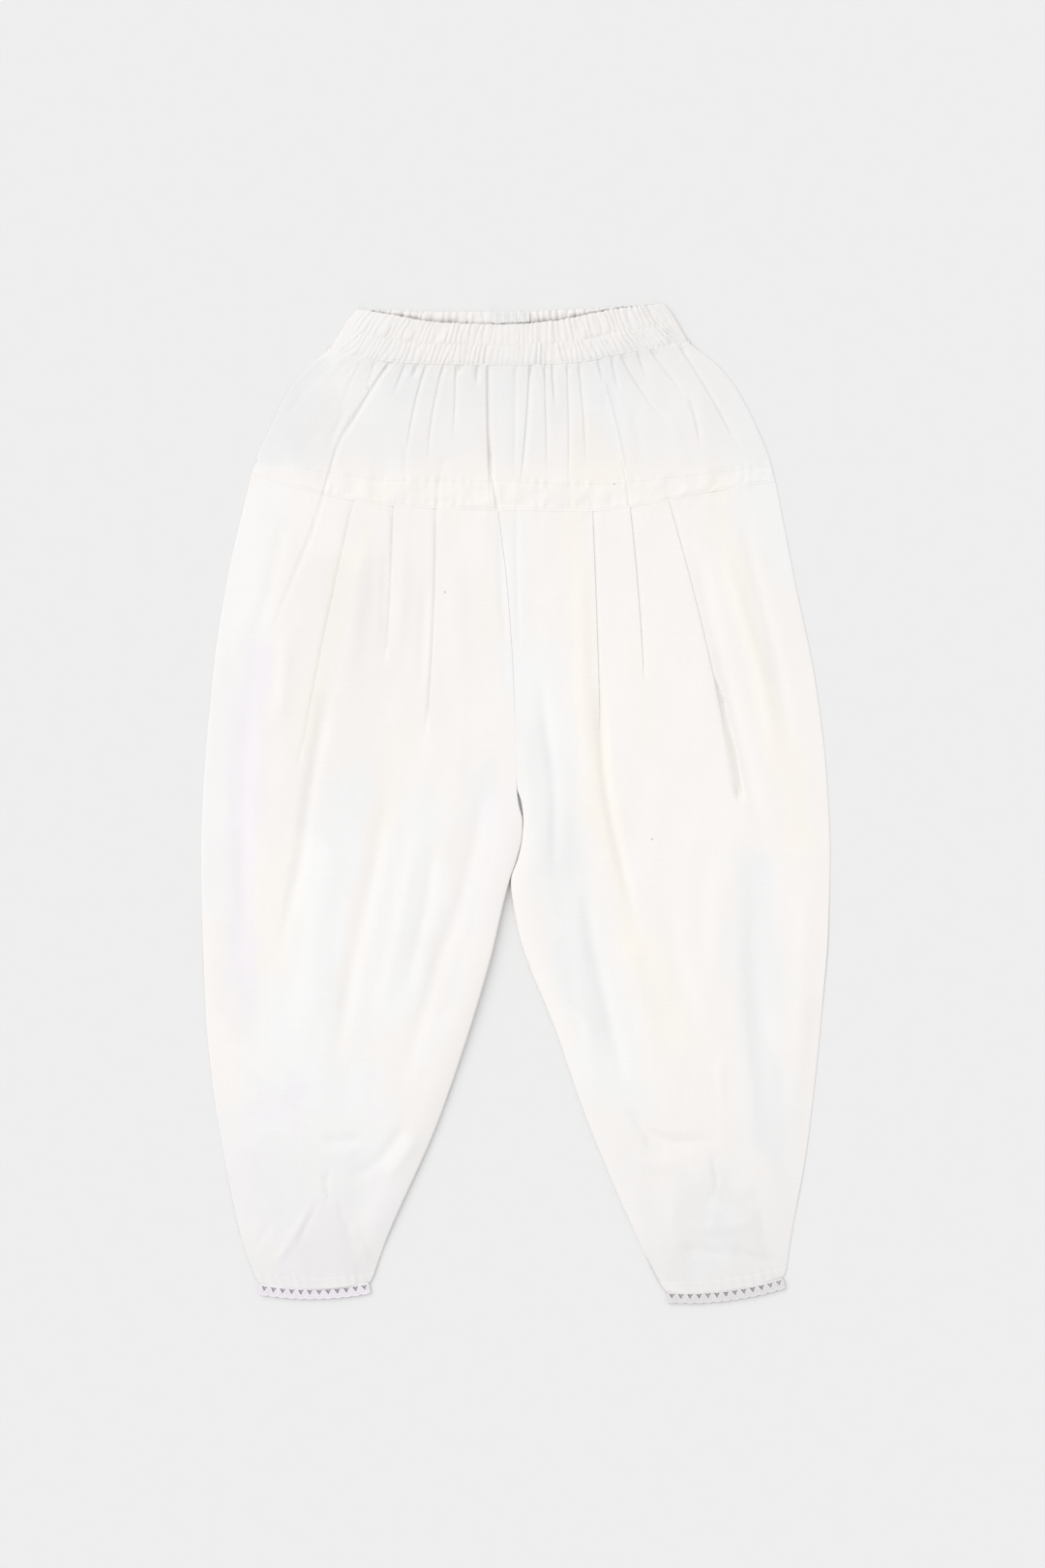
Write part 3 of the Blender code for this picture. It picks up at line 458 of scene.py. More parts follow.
LEG_CREASES = creases((
    (-0.95, 1.8, -1, -104.2, 310.3, -117.4, 292.3, -130.6, 274.3, -140.3, 243, -145.4, 223.9, -152.1,
     202.3, -160.5, 182, -168.5, 163, -178, 140, -190.8, 107.3),
    (-0.8, 5.5, 0, -172.2, 216.7, -178, 184.3, -186.6, 144.7, -198.1, 108.7),
    (-2, 4.4, 0, -137.5, 101.5, -142.6, 69.1, -146.9, 43.9, -151.9, 15.1, -156.2, -13.7, -159.1, -38.9,
     -164.9, -64.1, -169.9, -85.7, -178.6, -121.7),
    (1.25, 12, 0, -139, -13.7, -147.6, -85.7, -153.4, -157.7, -154.8, -193.7),
    (-0.84, 3.4, 0, -95.8, 195.1, -97.2, 151.9, -98.6, 101.5),
    (0.94, 6, 0, -82.8, 205.9, -84.2, 151.9, -90, 101.5),
    (-0.83, 4, 0, -67, 173.5, -68.4, 123.1, -71.3, 72.7),
    (1.04, 7, 0, -112.3, 205.9, -118.8, 137.5, -130.3, 65.5),
    (-1.55, 6, 0, -92.9, 22.3, -100.1, -20.9, -107.3, -56.9, -115.9, -92.9, -123.1, -128.9, -128.9,
     -164.9, -140.4, -215.3),
    (-1.45, 6, 0, -20.9, 36.7, -23.8, 7.9, -31.7, -35.3, -42.5, -78.5, -56.9, -114.5, -67, -150.5,
     -77.8, -186.5, -85.7, -229.7),
    (-1.25, 5, 0, -59.8, -20.9, -65.5, -71.3, -75.6, -114.5, -84.2, -150.5),
    (1, 6, 0, -72.7, -13.7, -83.5, -78.5, -92.9, -128.9, -107.3, -172.1),
    (1.04, 6, 0, -167.8, 137.5, -172.8, 94.3, -176.4, 51.1),
    (-1.04, 7, 0, -195.1, 94.3, -202.3, 22.3, -203.8, -49.7, -199.4, -121.7),
    (0.73, 8, 0, -45.4, 195.1, -42.5, 137.5, -45.4, 79.9),
    (-0.67, 3, 0, -11.5, 216.7, -10.8, 166.3, -6.5, 108.7),
    (-0.59, 1.6, 0, 0.7, 238.3, 0.7, 166.3, 2.9, 108.7),
    (-1.34, 3.4, 0, -201.6, -199.4, -182.2, -213.8, -165.6, -226.8, -151.9, -238.3, -146.2, -255.6),
    (-1.28, 2.8, 0, -146.2, -249.8, -131.8, -251.3, -110.2, -248.4),
    (0.84, 3.4, 0, -147.6, -258.5, -131.8, -260.6, -113, -258.5),
    (-1.3, 4.2, 0, -81.4, -235.4, -90, -251.3, -103, -267.1, -115.9, -274.3, -130.3, -275.8),
    (1.04, 5, 0, -72.7, -244.1, -85.7, -265.7, -101.5, -281.5),
    (-1.18, 2.4, 0, -213.8, -277.2, -202.3, -293, -190.8, -306, -173.5, -316.1),
    (1.01, 3, 0, -151.9, -298.8, -162, -316.1, -173.5, -334.8, -185, -346.3),
    (-0.84, 1.5, 0, -146.2, -294.5, -154.8, -310.3, -164.9, -330.5),
    (-0.76, 1.6, 0, -133.9, -293, -127.4, -311.8, -118.8, -334.8),
    (1.04, 3.6, 0, -123.1, -310.3, -117.4, -326.2, -107.3, -340.6),
    (-1, 1.1, 0, -139.5, -268, -144, -272, -138, -276, -144, -280, -138, -284, -143,
     -288, -138, -292, -142, -296, -139, -300),
    (-0.67, 3, 0, -180.7, -310.3, -187.9, -320.4, -195.1, -330.5),
    (-1.45, 4.6, 0, 17.3, 101.5, 20.9, 72.7, 25.2, 43.9, 28.8, 15.1, 29.5, -13.7, 28.8, -42.5, 27.4,
     -71.3),
    (-1.8, 3.9, 0, 61.2, 101.5, 63.4, 65.5, 64.8, 36.7, 67.7, 7.9, 72, -13.7, 78.5, -42.5, 85.7, -71.3,
     92.9, -103.7),
    (1.04, 6, 0, 48.2, 195.1, 49.7, 123.1, 52.6, 51.1, 56.9, -6.5),
    (-1.66, 6, 0, 128.9, 209.5, 140.4, 159.1, 151.9, 108.7, 164.9, 58.3, 177.8, 0.7, 189.4, -42.5),
    (-0.9, 4.8, 0, 163.4, 234.7, 170.6, 202.3, 179.3, 166.3, 190.1, 126.7, 199.4, 79.9, 208.1, 22.3),
    (1.46, 5.5, 0, 151.9, 202.3, 164.9, 155.5, 179.3, 108.7, 188.6, 69.1, 196.6, 22.3),
    (-1.5, 9, 0, 172.1, -13.7, 175, -64.1, 177.8, -121.7, 181.4, -179.3, 186.5, -229.7, 189.4,
     -272.9),
    (-1.3, 1.3, 0, 163.6, 14, 166, 9, 165.4, 5.5, 163, 2.5),
    (1, 9, 0, 216.7, -49.7, 216.7, -121.7, 212.4, -193.7, 205.2, -265.7),
    (-1.2, 5, 0, 51.1, -56.9, 56.9, -100.1, 64.1, -136.1, 71.3, -164.9, 78.5, -200.9, 88.6, -228.2),
    (-1.04, 8, 0, 113, -64.1, 120.2, -121.7, 131.8, -157.7, 147.6, -186.5),
    (0.8, 9, 0, 82.8, -92.9, 94.3, -150.5, 113, -200.9),
    (1.04, 8, 0, 151.2, -35.3, 150.5, -92.9, 147.6, -150.5),
    (0.67, 3, 0, 152.6, -186.5, 151.9, -208.1, 154.1, -229.7),
    (0.8, 7, 0, 41, -49.7, 45.4, -92.9, 52.6, -157.7, 66.2, -229.7),
    (-1.76, 3.6, 0, 82.8, -222.5, 94.3, -242.6, 113, -251.3, 134.6, -251.3, 154.8, -248.4),
    (-1.25, 4, 0, 94.3, -248.4, 105.8, -258.5, 115.9, -258.5),
    (0.83, 4, 0, 84.2, -262.8, 105.8, -270, 128.9, -267.1),
    (-0.95, 1.2, 0, 146, -258, 150.5, -262, 145, -266, 150, -270.5, 145.5, -275, 152,
     -279.5, 147, -284, 150, -289, 142, -295, 138.2, -304),
    (-0.84, 2.6, 0, 150.5, -285.8, 157.7, -298.8, 166.3, -301.7),
    (0.84, 3.4, 0, 120.2, -314.6, 149, -316.1, 185, -311.8),
    (-1.25, 4, 0, 123.1, -329, 141.8, -333.4, 162, -336.2),
    (-1.25, 3.6, 0, 157.7, -330.5, 182.2, -340.6, 198, -342),
))


@dataclass(frozen=True)
class Ruching:
    """One row of fine uneven gathers side by side, between two stitched lines of the casing.

    Attributes:
        lean: how many gathers' widths the outermost furrows lean, foot outward.
    """

    count: float
    lean: float
    seed: int
    drift: float = 0.55
    jitter: float = 0.24
    fullness: float = 0.60
    variety: float = 0.40
    flatness: float = 0.6

    def crest(self, along: Array, lift: Array | float) -> Array:
        """0 in the furrows to about 1 on full crests.

        Args:
            along: share of the casing's width.
            lift: share of its height.

        Returns:
            The height of the gathers there, as a share.
        """
        number = along * self.count
        lift = number * 0.0 + lift
        uneven = self.drift * value_noise(number * 0.45, lift * 1.4, self.seed)
        uneven = uneven + self.jitter * value_noise(number * 1.4, lift * 3.0, self.seed + 1)
        phase = number + uneven + self.lean * (2.0 * along - 1.0) * lift
        full = self.fullness + self.variety * value_noise(number * 0.8, lift * 3.4, self.seed + 2)
        return np.abs(np.sin(math.pi * phase)) ** self.flatness * full


@dataclass(frozen=True)
class FrontForm:
    """The height of the front layer's upper face, before pleats and gathers.

    A reach is the distance inside the outline at which something is full.

    Attributes:
        right_side: X where the lower right edge starts, and over how far.
        inner_reach: all reaches beside the gap between the legs, as a share.
        low_crumple: how much stronger the crumple is near the hems, below which Y, over what length.
        parting: Y where the legs begin to part, and over what length.
        rising_roll: the same for the rise of the roll of their inner edges.
        hem_roll: the same for the roll's start at the hem.
    """

    rest: float = 2.7
    edge: float = 1.0
    right_edge: float = 0.62
    right_side: Span = (110.0, 40.0)
    rest_reach: float = 40.0
    loft_reach: float = 90.0
    crease_reach: float = 24.0
    inner_reach: float = 0.45
    deepest: float = -0.6
    crumples: tuple[Uneven, ...] = (
        Uneven(0.78, 34.0, 3, 120.0, 0.22),
        Uneven(0.28, 15.0, 7, 52.0, -0.10),
        Uneven(0.05, 6.5, 11, 9.0),
    )
    low_crumple: Triple = (0.5, -230.0, 60.0)
    parting: Span = (27.0, 60.0)
    roll: float = 5.4
    low_roll: float = 2.6
    rising_roll: Span = (-240.0, 130.0)
    hem_roll: Span = (-352.0, 50.0)
    roll_width: float = 26.0

    def parted(self, y: Array) -> Array:
        """0 where the two legs are sewn together, 1 below the crotch."""
        start, length = self.parting
        return ease((start - y) / length)

    @staticmethod
    def from_gap(x: Array, y: Array) -> Array:
        """Distance from the nearer leg's inner edge."""
        left, right = INNER_LEFT(y), INNER_RIGHT(y)
        return np.where(x < (left + right) / 2, left - x, x - right)

    def inside(self, x: Array, y: Array, reach: float) -> Array:
        """How far inside the garment's outline this is. The centre seam isn't an edge.

        Args:
            x: X of the points.
            y: Y of the points.
            reach: the distance that counts as well inside.

        Returns:
            0 at the outline to 1 at the reach inside it.
        """
        left = np.where(y > LEFT_SEAM_Y, YOKE_LEFT(y), OUTER_LEFT(y))
        right = np.where(y > RIGHT_SEAM_Y, YOKE_RIGHT(y), OUTER_RIGHT(y))
        side = np.minimum(swell(x - left, reach), swell(right - x, reach))
        return side * (1.0 - self.parted(y) * (1.0 - swell(self.from_gap(x, y), reach * self.inner_reach)))

    def crumple(self, x: Array, y: Array) -> Array:
        """The height of the crumple there."""
        more, top, length = self.low_crumple
        return sum(crumple(x, y) for crumple in self.crumples) * (1.0 + more * ease((top - y) / length))

    def inner_roll(self, x: Array, y: Array) -> Array:
        """How the inner edge of each leg rolls up, least at the crotch and the hem.

        Args:
            x: X of the points.
            y: Y of the points.

        Returns:
            What the roll adds to the height of each.
        """
        low_y, rise = self.rising_roll
        hem_y, start = self.hem_roll
        roll = mix(self.low_roll, self.roll, ease((y - low_y) / rise))
        return roll * self.parted(y) * bell(self.from_gap(x, y), self.roll_width) * ease((y - hem_y) / start)

    def height(self, x: Array, y: Array) -> Array:
        """The upper face without what pleats and gathers add.

        Args:
            x: X of the points.
            y: Y of the points.

        Returns:
            Z of the face at each.
        """
        lofted = (LOFT(y) + self.crumple(x, y)) * self.inside(x, y, self.loft_reach)
        creased = sum(crease.relief(x, y) for crease in LEG_CREASES)
        lofted = lofted + creased * self.inside(x, y, self.crease_reach) + self.inner_roll(x, y)
        start, blend = self.right_side
        edge = mix(self.edge, self.right_edge, ease((x - start) / blend))
        return mix(edge, self.rest, self.inside(x, y, self.rest_reach)) + np.maximum(lofted, self.deepest)


FORM = FrontForm()


def between(first: Array, second: Array, count: int, crowd: float = 0.0) -> Array:
    """So many columns between two columns, crowded at both ends by the last number."""
    share = np.arange(1, count + 1) / (count + 1)
    return first + (second - first) * (share - crowd * np.sin(2 * math.pi * share))


def skin_quads(rows: int, columns: int) -> Array:
    """Quads of a skin of these rows, whose columns run all the way round.

    Args:
        rows: how many rows of points it has.
        columns: how many points are in a row.

    Returns:
        Four point numbers a face.
    """
    row, column = np.meshgrid(np.arange(rows - 1), np.arange(columns), indexing="ij")
    here = row * columns + column
    beside = row * columns + (column + 1) % columns
    return np.stack([here, here + columns, beside + columns, beside], axis=-1).reshape(-1, 4)


def ring_shell(outer: Array, inner: Array) -> Pair:
    """The closed wall between a tube's outer and inner face.

    Args:
        outer: rows by columns of points, rows down the tube, columns round it.
        inner: the same for the inner face.

    Returns:
        Points and quads of the wall, with its faces pointing out of the cloth.
    """
    rows, columns = outer.shape[:2]
    skin = skin_quads(rows, columns)
    ring = np.arange(columns)
    after = (ring + 1) % columns
    under = rows * columns
    top = np.stack([ring, after, after + under, ring + under], axis=-1)
    foot = np.stack([after, ring, ring + under, after + under], axis=-1) + (rows - 1) * columns
    points = np.concatenate([outer.reshape(-1, 3), inner.reshape(-1, 3)])
    return points, np.concatenate([skin, skin[:, ::-1] + under, top, foot])


def tube_shell(outer: Array, thick: Array) -> Pair:
    """A thin closed shell from a tube's outer face, all of it above the floor.

    Args:
        outer: rows by columns of points, rows down the tube, columns round it.
        thick: thickness of the cloth at each point.

    Returns:
        Points and quads of the shell, with its faces pointing out.
    """
    across = np.roll(outer, -1, axis=1) - np.roll(outer, 1, axis=1)
    normal = np.cross(np.gradient(outer, axis=0), across)
    normal /= np.maximum(np.linalg.norm(normal, axis=2, keepdims=True), 1e-9)
    points, quads = ring_shell(outer, outer - normal * thick[:, :, None])
    points[:, 2] = np.maximum(points[:, 2], 0.0)
    return points, quads


def linked(name: str, data: bpy.types.ID) -> Piece:
    """An object of this mesh, lamp or camera in the scene."""
    made = bpy.data.objects.new(name, data)
    bpy.context.scene.collection.objects.link(made)
    return made


def mesh_object(
    name: str, points: Array, quads: Array, material: Material, tint_and_shade: Array | None = None
) -> Piece:
    """An object from points and quads, shaded smooth.

    Args:
        name: the object's name.
        points: the points, in millimetres.
        quads: four point numbers a face.
        material: its finish.
        tint_and_shade: the creamy, lilac and cool weights and the painted shade a point, kept as an
            attribute of the same name.

    Returns:
        The object, linked to the scene.
    """
    mesh = bpy.data.meshes.new(name)
    mesh.vertices.add(len(points))
    mesh.vertices.foreach_set("co", (points * MM).astype(np.float32).ravel())
    mesh.loops.add(quads.size)
    mesh.loops.foreach_set("vertex_index", quads.astype(np.int32).ravel())
    mesh.polygons.add(len(quads))
    mesh.polygons.foreach_set("loop_start", np.arange(0, quads.size, 4, dtype=np.int32))
    mesh.polygons.foreach_set("use_smooth", np.ones(len(quads), bool))
    if tint_and_shade is not None:
        layer = mesh.attributes.new("tint_and_shade", "FLOAT_COLOR", "POINT")
        layer.data.foreach_set("color", tint_and_shade.astype(np.float32).ravel())
    mesh.update(calc_edges=True)
    mesh.validate()
    mesh.materials.append(material)
    return linked(name, mesh)


def polyline_object(name: str, lines: Sequence[Array]) -> Piece:
    """An object of open lines for a modifier to run along.

    Args:
        name: the object's name.
        lines: the points of each line, in millimetres.

    Returns:
        The object, linked to the scene.
    """
    points, edges = [], []
    for line in lines:
        first = len(points)
        points.extend((np.asarray(line) * MM).tolist())
        edges.extend((first + step, first + step + 1) for step in range(len(line) - 1))
    mesh = bpy.data.meshes.new(name)
    mesh.from_pydata(points, edges, [])
    return linked(name, mesh)


@dataclass(frozen=True)
class Patch:
    """A soft area of the cloth with a slight colour of its own, or a patch of painted shade (painted
    highlight where its strength is negative).

    Attributes:
        weights: how creamy, lilac and cool it is, and how much painted shade it lays on.
    """

    line: Line
    strength: float
    width: float
    weights: tuple[float, float, float, float]
    flat: float = 1.25
    spread: float = 1.12
    fades: Span = (0.14, 0.16)

    def share(self, x: Array, y: Array) -> Array:
        """How much of it shows there: even in its middle, soft at its rim."""
        area = Crease(self.line, 1.0, self.spread * self.width, 0, self.fades)
        return self.strength * ease(self.flat * area.relief(x, y))


def patches(weights: Row, rows: Sequence[Sequence[float]]) -> tuple[Patch, ...]:
    """Patches of one colour or of painted shade from rows of strength and half width, then X and Y of each
    point.
    """
    return tuple(Patch(tuple(zip(row[2::2], row[3::2])), *row[:2], weights) for row in rows)


# How creamy, lilac and cool each colour is, and how much painted shade it lays on; the painted shade also
# cools the cloth a little.
WARM = (1, 0, 0, 0)
LILAC = (0, 1, 0, 0)
COOL = (0, 0, 1, 0)
PAINTED_SHADE = (0, 0, 0.3, 1)

# Painted shade across the whole width, where the light falls off: darker towards the casing and the hems.
# Pairs of Y and share.
PAINTED_SHADE_BY_Y = Profile((
    (372, 0.62), (326, 0.62), (300, 0.60), (262, 0.51), (240, 0.26), (150, 0.20), (30, 0.13), (-120, 0.16),
    (-200, 0.27), (-260, 0.45), (-320, 0.64), (-352, 0.86), (-362, 0.72),
))

PATCHES = patches(WARM, (
    (0.7, 12, 38.6, 267.9, 53.8, 251.1, 72.9, 237.4),
    (0.9, 9, 45, 250, 48.5, 153.5, 53.8, 77.2, 61.5, 16.2, 69.1, -29.6, 84.3, -90.6, 95.8, -136.3),
    (0.6, 12, 88.2, -82.9, 111, -151.6, 130.1, -189.7),
    (0.75, 10, 141.6, 237.4, 164.4, 168.7, 187.3, 77.2, 208.7, 0.9, 217.8, -52.4),
    (0.75, 10, 132.4, 242, 156.8, 232.8),
    (0.7, 10, -111.7, 225.9, -123.9, 176.4, -136.8, 130.6, -152.1, 77.2, -165.1, 16.2),
    (0.6, 8, -128.4, 235.9, -94.9, 242),
    (0.45, 7, -18.6, 176.4, -18.6, 115.4),
    (0.4, 8, -87.3, 77.2, -94.9, 16.2, -110.1, -44.8),
    (0.4, 8, 94.3, 130.6, 95.8, 46.7),
    (0.35, 12, -102.5, 348.7, -3.4, 344.2, 88.2, 350.3),
    (0.35, 7, -170, -20.9, -179.2, -83.3, -184.7, -131.1),
    (0.35, 12, -120, 242, 0, 229, 140, 236),
)) + patches(LILAC, (
    (0.9, 11, -190, 130.6, -195, 90, -201, 40, -206, -29.6, -204, -121.1, -200, -182.1),
    (0.5, 6, -185, -351, -148, -354, -110, -352),
    (0.4, 16, -215, -210, -200, -290, -180, -340),
    (0.85, 12, -201.7, -201.2, -178.8, -220.2, -154.4, -241.6),
    (0.85, 19, -134.5, -296.5, -145.2, -323.2, -154.4, -349.9),
    (0.7, 12, -178.8, -346.1, -148.3, -342.3, -117.8, -346.1),
    (0.6, 8, -101, -281.2, -94.9, -304.1, -102.5, -334.6),
    (0.5, 7, -108.6, -205, -101, -229.4),
    (0.3, 14, -11, 23.8, -18.6, -44.8, -41.5, -105.8),
)) + patches(COOL, (
    (-0.9, 8, -80, 90, -92, 30, -103.8, -20.9, -118, -95, -129.6, -167.8, -140.6, -241.3),
    (-0.9, 8, -30.4, -5, -48.7, -94.3, -74.4, -167.8, -87.3, -237.6),
    (1, 24, -146.8, 335, -172.7, 298.4, -184.9, 256.5),
    (0.75, 15, -62.9, 327.4, -87.3, 298.4, -108.6, 260.3),
    (0.7, 8, -4.9, 339.6, -1.8, 283.1, -3.4, 229.8),
    (0.8, 16, 53.8, 327.4, 74.4, 298.4, 84.3, 256.5),
    (0.8, 15, 156.8, 321.3, 175.9, 283.1, 188.8, 229.8, 210.2, 153.5),
    (0.6, 16, -182, 262, -207.8, 130.6, -226.1, 16.2, -227.6, -105.8),
    (1, 26, -108.6, 46.7, -123.9, -44.8, -136.1, -113.5, -149.8, -197.4, -163.5, -266),
    (0.8, 11, -64.4, 23.8, -70.5, -44.8, -83.4, -113.5, -98.7, -182.1),
    (0.75, 11, -29.3, 54.3, -29.3, -14.3, -49.1, -90.6, -68.2, -166.8, -90.3, -227.9),
    (0.55, 8, -4.9, 225.9, -0.3, 130.6, 2.7, 46.7),
    (0.9, 17, 8.8, 153.5, 15.7, 77.2, 24.1, 16.2, 31.7, -44.8, 47, -113.5, 62.2, -166.8, 80.5, -227.9,
     92.7, -266),
    (0.9, 17, 175.9, -6.7, 179.7, -75.3, 177.4, -151.6, 187.3, -220.2, 191.9, -273.6),
    (0.7, 14, -194, -288.9, -169.6, -304.1, -146.8, -285.8),
    (0.7, 10, -125.4, -282.8, -94.9, -262.9),
    (0.7, 30, -165, -120, -172, -220, -168, -330),
    (0.7, 22, -112, -190, -116, -260, -118, -330),
    (0.9, 14, 150.7, -300.3, 145.4, -323.2, 145.4, -342.3),
    (0.6, 12, 103.4, 351.8, 126.3, 342.6, 118.7, 328.9),
# Painted shade on the hems, the yoke and the edges of the legs; a negative strength is painted highlight.
)) + patches(PAINTED_SHADE, (
    (0.2, 14, -167.3, -338.5, -144.5, -342.3, -114, -338.5),
    (0.4, 12, 118.7, -330.8, 156.8, -334.6, 194.9, -327),
    (0.33, 16, -148.3, 328.9, -171.2, 294.6, -182.6, 260.3),
    (0.25, 16, 112.6, -296.5, 156.8, -300.3, 183.5, -292.7),
    (0.12, 14, -110.1, 317.5, -11, 312.1, 103.4, 316.7),
    (0.24, 14, -144.5, 306, -149.8, 267.9, -155.9, 235.9),
    (0.22, 38, -133, 199.3, -125.4, 77.2, -140.6, -44.8),
    (0.22, 12, -205, 150, -222, 16.2, -218, -120, -205, -200),
    (0.16, 30, -190, -250, -160, -300, -110, -330),
    # Painted highlight: less painted shade along the right leg's outer strip.
    (-0.35, 12, 215, 120, 229, 0, 224, -150),
    (0.3, 8, 110, -358, 155, -360, 200, -350),
    (0.3, 12, 15.7, 77.2, 24.1, 16.2, 33.2, -44.8, 47, -113.5, 65.3, -182.1),
    (0.35, 12, 175.9, -6.7, 179.7, -75.3, 177.4, -151.6, 187.3, -220.2, 191.9, -273.6),
    (0.2, 12, -29.3, 54.3, -29.3, -14.3, -49.1, -90.6, -68.2, -166.8),
))

# How far the patches' rims wander across and along, so that none is a smooth oval.
RIMS_ACROSS = (Uneven(6.0, 17.0, 71, 34.0), Uneven(2.4, 5.0, 73, 8.0))
RIMS_ALONG = Uneven(20.0, 15.0, 79, 28.0)


def tint_and_shade_at(points: Array) -> Array:
    """The creamy, lilac and cool weights and the painted shade, by height up the garment and by the table of
    patches.

    Args:
        points: rows of X, Y and Z.

    Returns:
        Rows of four weights from 0 to 1.
    """
    x, y = points[:, 0], points[:, 1]
    weights = PAINTED_SHADE_BY_Y(y)[:, None] * np.array(PAINTED_SHADE)
    across, along = sum(rim(x, y) for rim in RIMS_ACROSS), RIMS_ALONG(x, y)
    for patch in PATCHES:
        weights += patch.share(x + across, y + along)[:, None] * np.array(patch.weights)
    return np.clip(weights, 0.0, 1.0)


class Socket:
    """A shader value, so that sums are written as Python sums."""

    def __init__(self, tree: "Tree", link: Link) -> None:
        """Keeps the tree and the output socket."""
        self.tree = tree
        self.link = link

    def __add__(self, other: "Socket | float") -> "Socket":
        """Sum."""
        return self.tree.math("ADD", self, other)

    def __sub__(self, other: "Socket | float") -> "Socket":
        """Difference."""
        return self.tree.math("SUBTRACT", self, other)

    def __rsub__(self, other: "Socket | float") -> "Socket":
        """Difference from a number."""
        return self.tree.math("SUBTRACT", other, self)

    def __mul__(self, other: "Socket | float") -> "Socket":
        """Product."""
        return self.tree.math("MULTIPLY", self, other)

    __radd__ = __add__
    __rmul__ = __mul__


class Tree:
    """A node tree that is filled by one method."""

    def __init__(self, tree: bpy.types.NodeTree) -> None:
        """Empties the tree."""
        self.tree = tree
        tree.nodes.clear()

    def node(
        self, kind: str, settings: dict[str, object] | None = None, inputs: dict | None = None
    ) -> bpy.types.Node:
        """Adds a node.

        Args:
            kind: the node's type.
            settings: its settings, which are set first.
            inputs: values or links of its sockets, by name or number.

        Returns:
            The node.
        """
        made = self.tree.nodes.new(kind)
        for name, value in (settings or {}).items():
            setattr(made, name, value)
        for key, value in (inputs or {}).items():
            socket = made.inputs[key]
            if isinstance(value, Socket):
                value = value.link
            if isinstance(value, Link):
                self.tree.links.new(value, socket)
            else:
                socket.default_value = value
        return made

    def math(self, operation: str, *values: Socket | float) -> Socket:
        """A Math node on one to three values."""
        made = self.node("ShaderNodeMath", {"operation": operation}, dict(enumerate(values)))
        return Socket(self, made.outputs[0])

    def blend(self, share: Socket | float, first: Socket | Triple, second: Socket | Triple) -> Socket:
        """A colour between two colours.

        Args:
            share: 0 for the first to 1 for the second.
            first: a socket, or red, green and blue.
            second: the same.

        Returns:
            The colour.
        """
        first, second = (tone if isinstance(tone, Socket) else (*tone, 1.0) for tone in (first, second))
        settings = {"data_type": "RGBA", "clamp_factor": True}
        made = self.node("ShaderNodeMix", settings, {0: share, 6: first, 7: second})
        return Socket(self, made.outputs[2])

    def places(self) -> tuple[Socket, Socket, Socket, Socket]:
        """Object coordinates as a vector and as X, Y and Z, in metres."""
        vector = self.node("ShaderNodeTexCoord").outputs["Object"]
        parts = self.node("ShaderNodeSeparateXYZ", None, {0: vector})
        return Socket(self, vector), *(Socket(self, output) for output in parts.outputs)

    def noise(self, vector: Socket, scale: Triple, detail: float) -> Socket:
        """Noise whose cells have their own size along X, Y and Z.

        Args:
            vector: the coordinates that it follows.
            scale: cells a metre along X, Y and Z.
            detail: how many finer noises it has in it.

        Returns:
            Values from 0 to 1.
        """
        settings = {"vector_type": "POINT"}
        mapped = self.node("ShaderNodeMapping", settings, {"Vector": vector, "Scale": scale})
        inputs = {"Vector": mapped.outputs[0], "Scale": 1.0, "Detail": detail, "Roughness": 0.55}
        return Socket(self, self.node("ShaderNodeTexNoise", None, inputs).outputs[0])

    def bump(self, relief: Socket, strength: float, distance: float) -> Link:
        """A normal that is bent by this relief, this many metres deep."""
        inputs = {"Strength": strength, "Distance": distance, "Height": relief}
        return self.node("ShaderNodeBump", None, inputs).outputs[0]


class Finish:
    """What every finish shares: a new material, its tree and its Principled shader."""

    name = "finish"

    def start(self) -> tuple[Material, Tree]:
        """A new material of this finish's name, with an empty tree."""
        material = bpy.data.materials.new(self.name)
        material.use_nodes = True
        return material, Tree(material.node_tree)

    @staticmethod
    def end(tree: Tree, sockets: dict[str, object]) -> None:
        """Adds the Principled shader with these sockets, and the output."""
        shader = tree.node("ShaderNodeBsdfPrincipled", None, sockets)
        tree.node("ShaderNodeOutputMaterial", None, {"Surface": shader.outputs[0]})


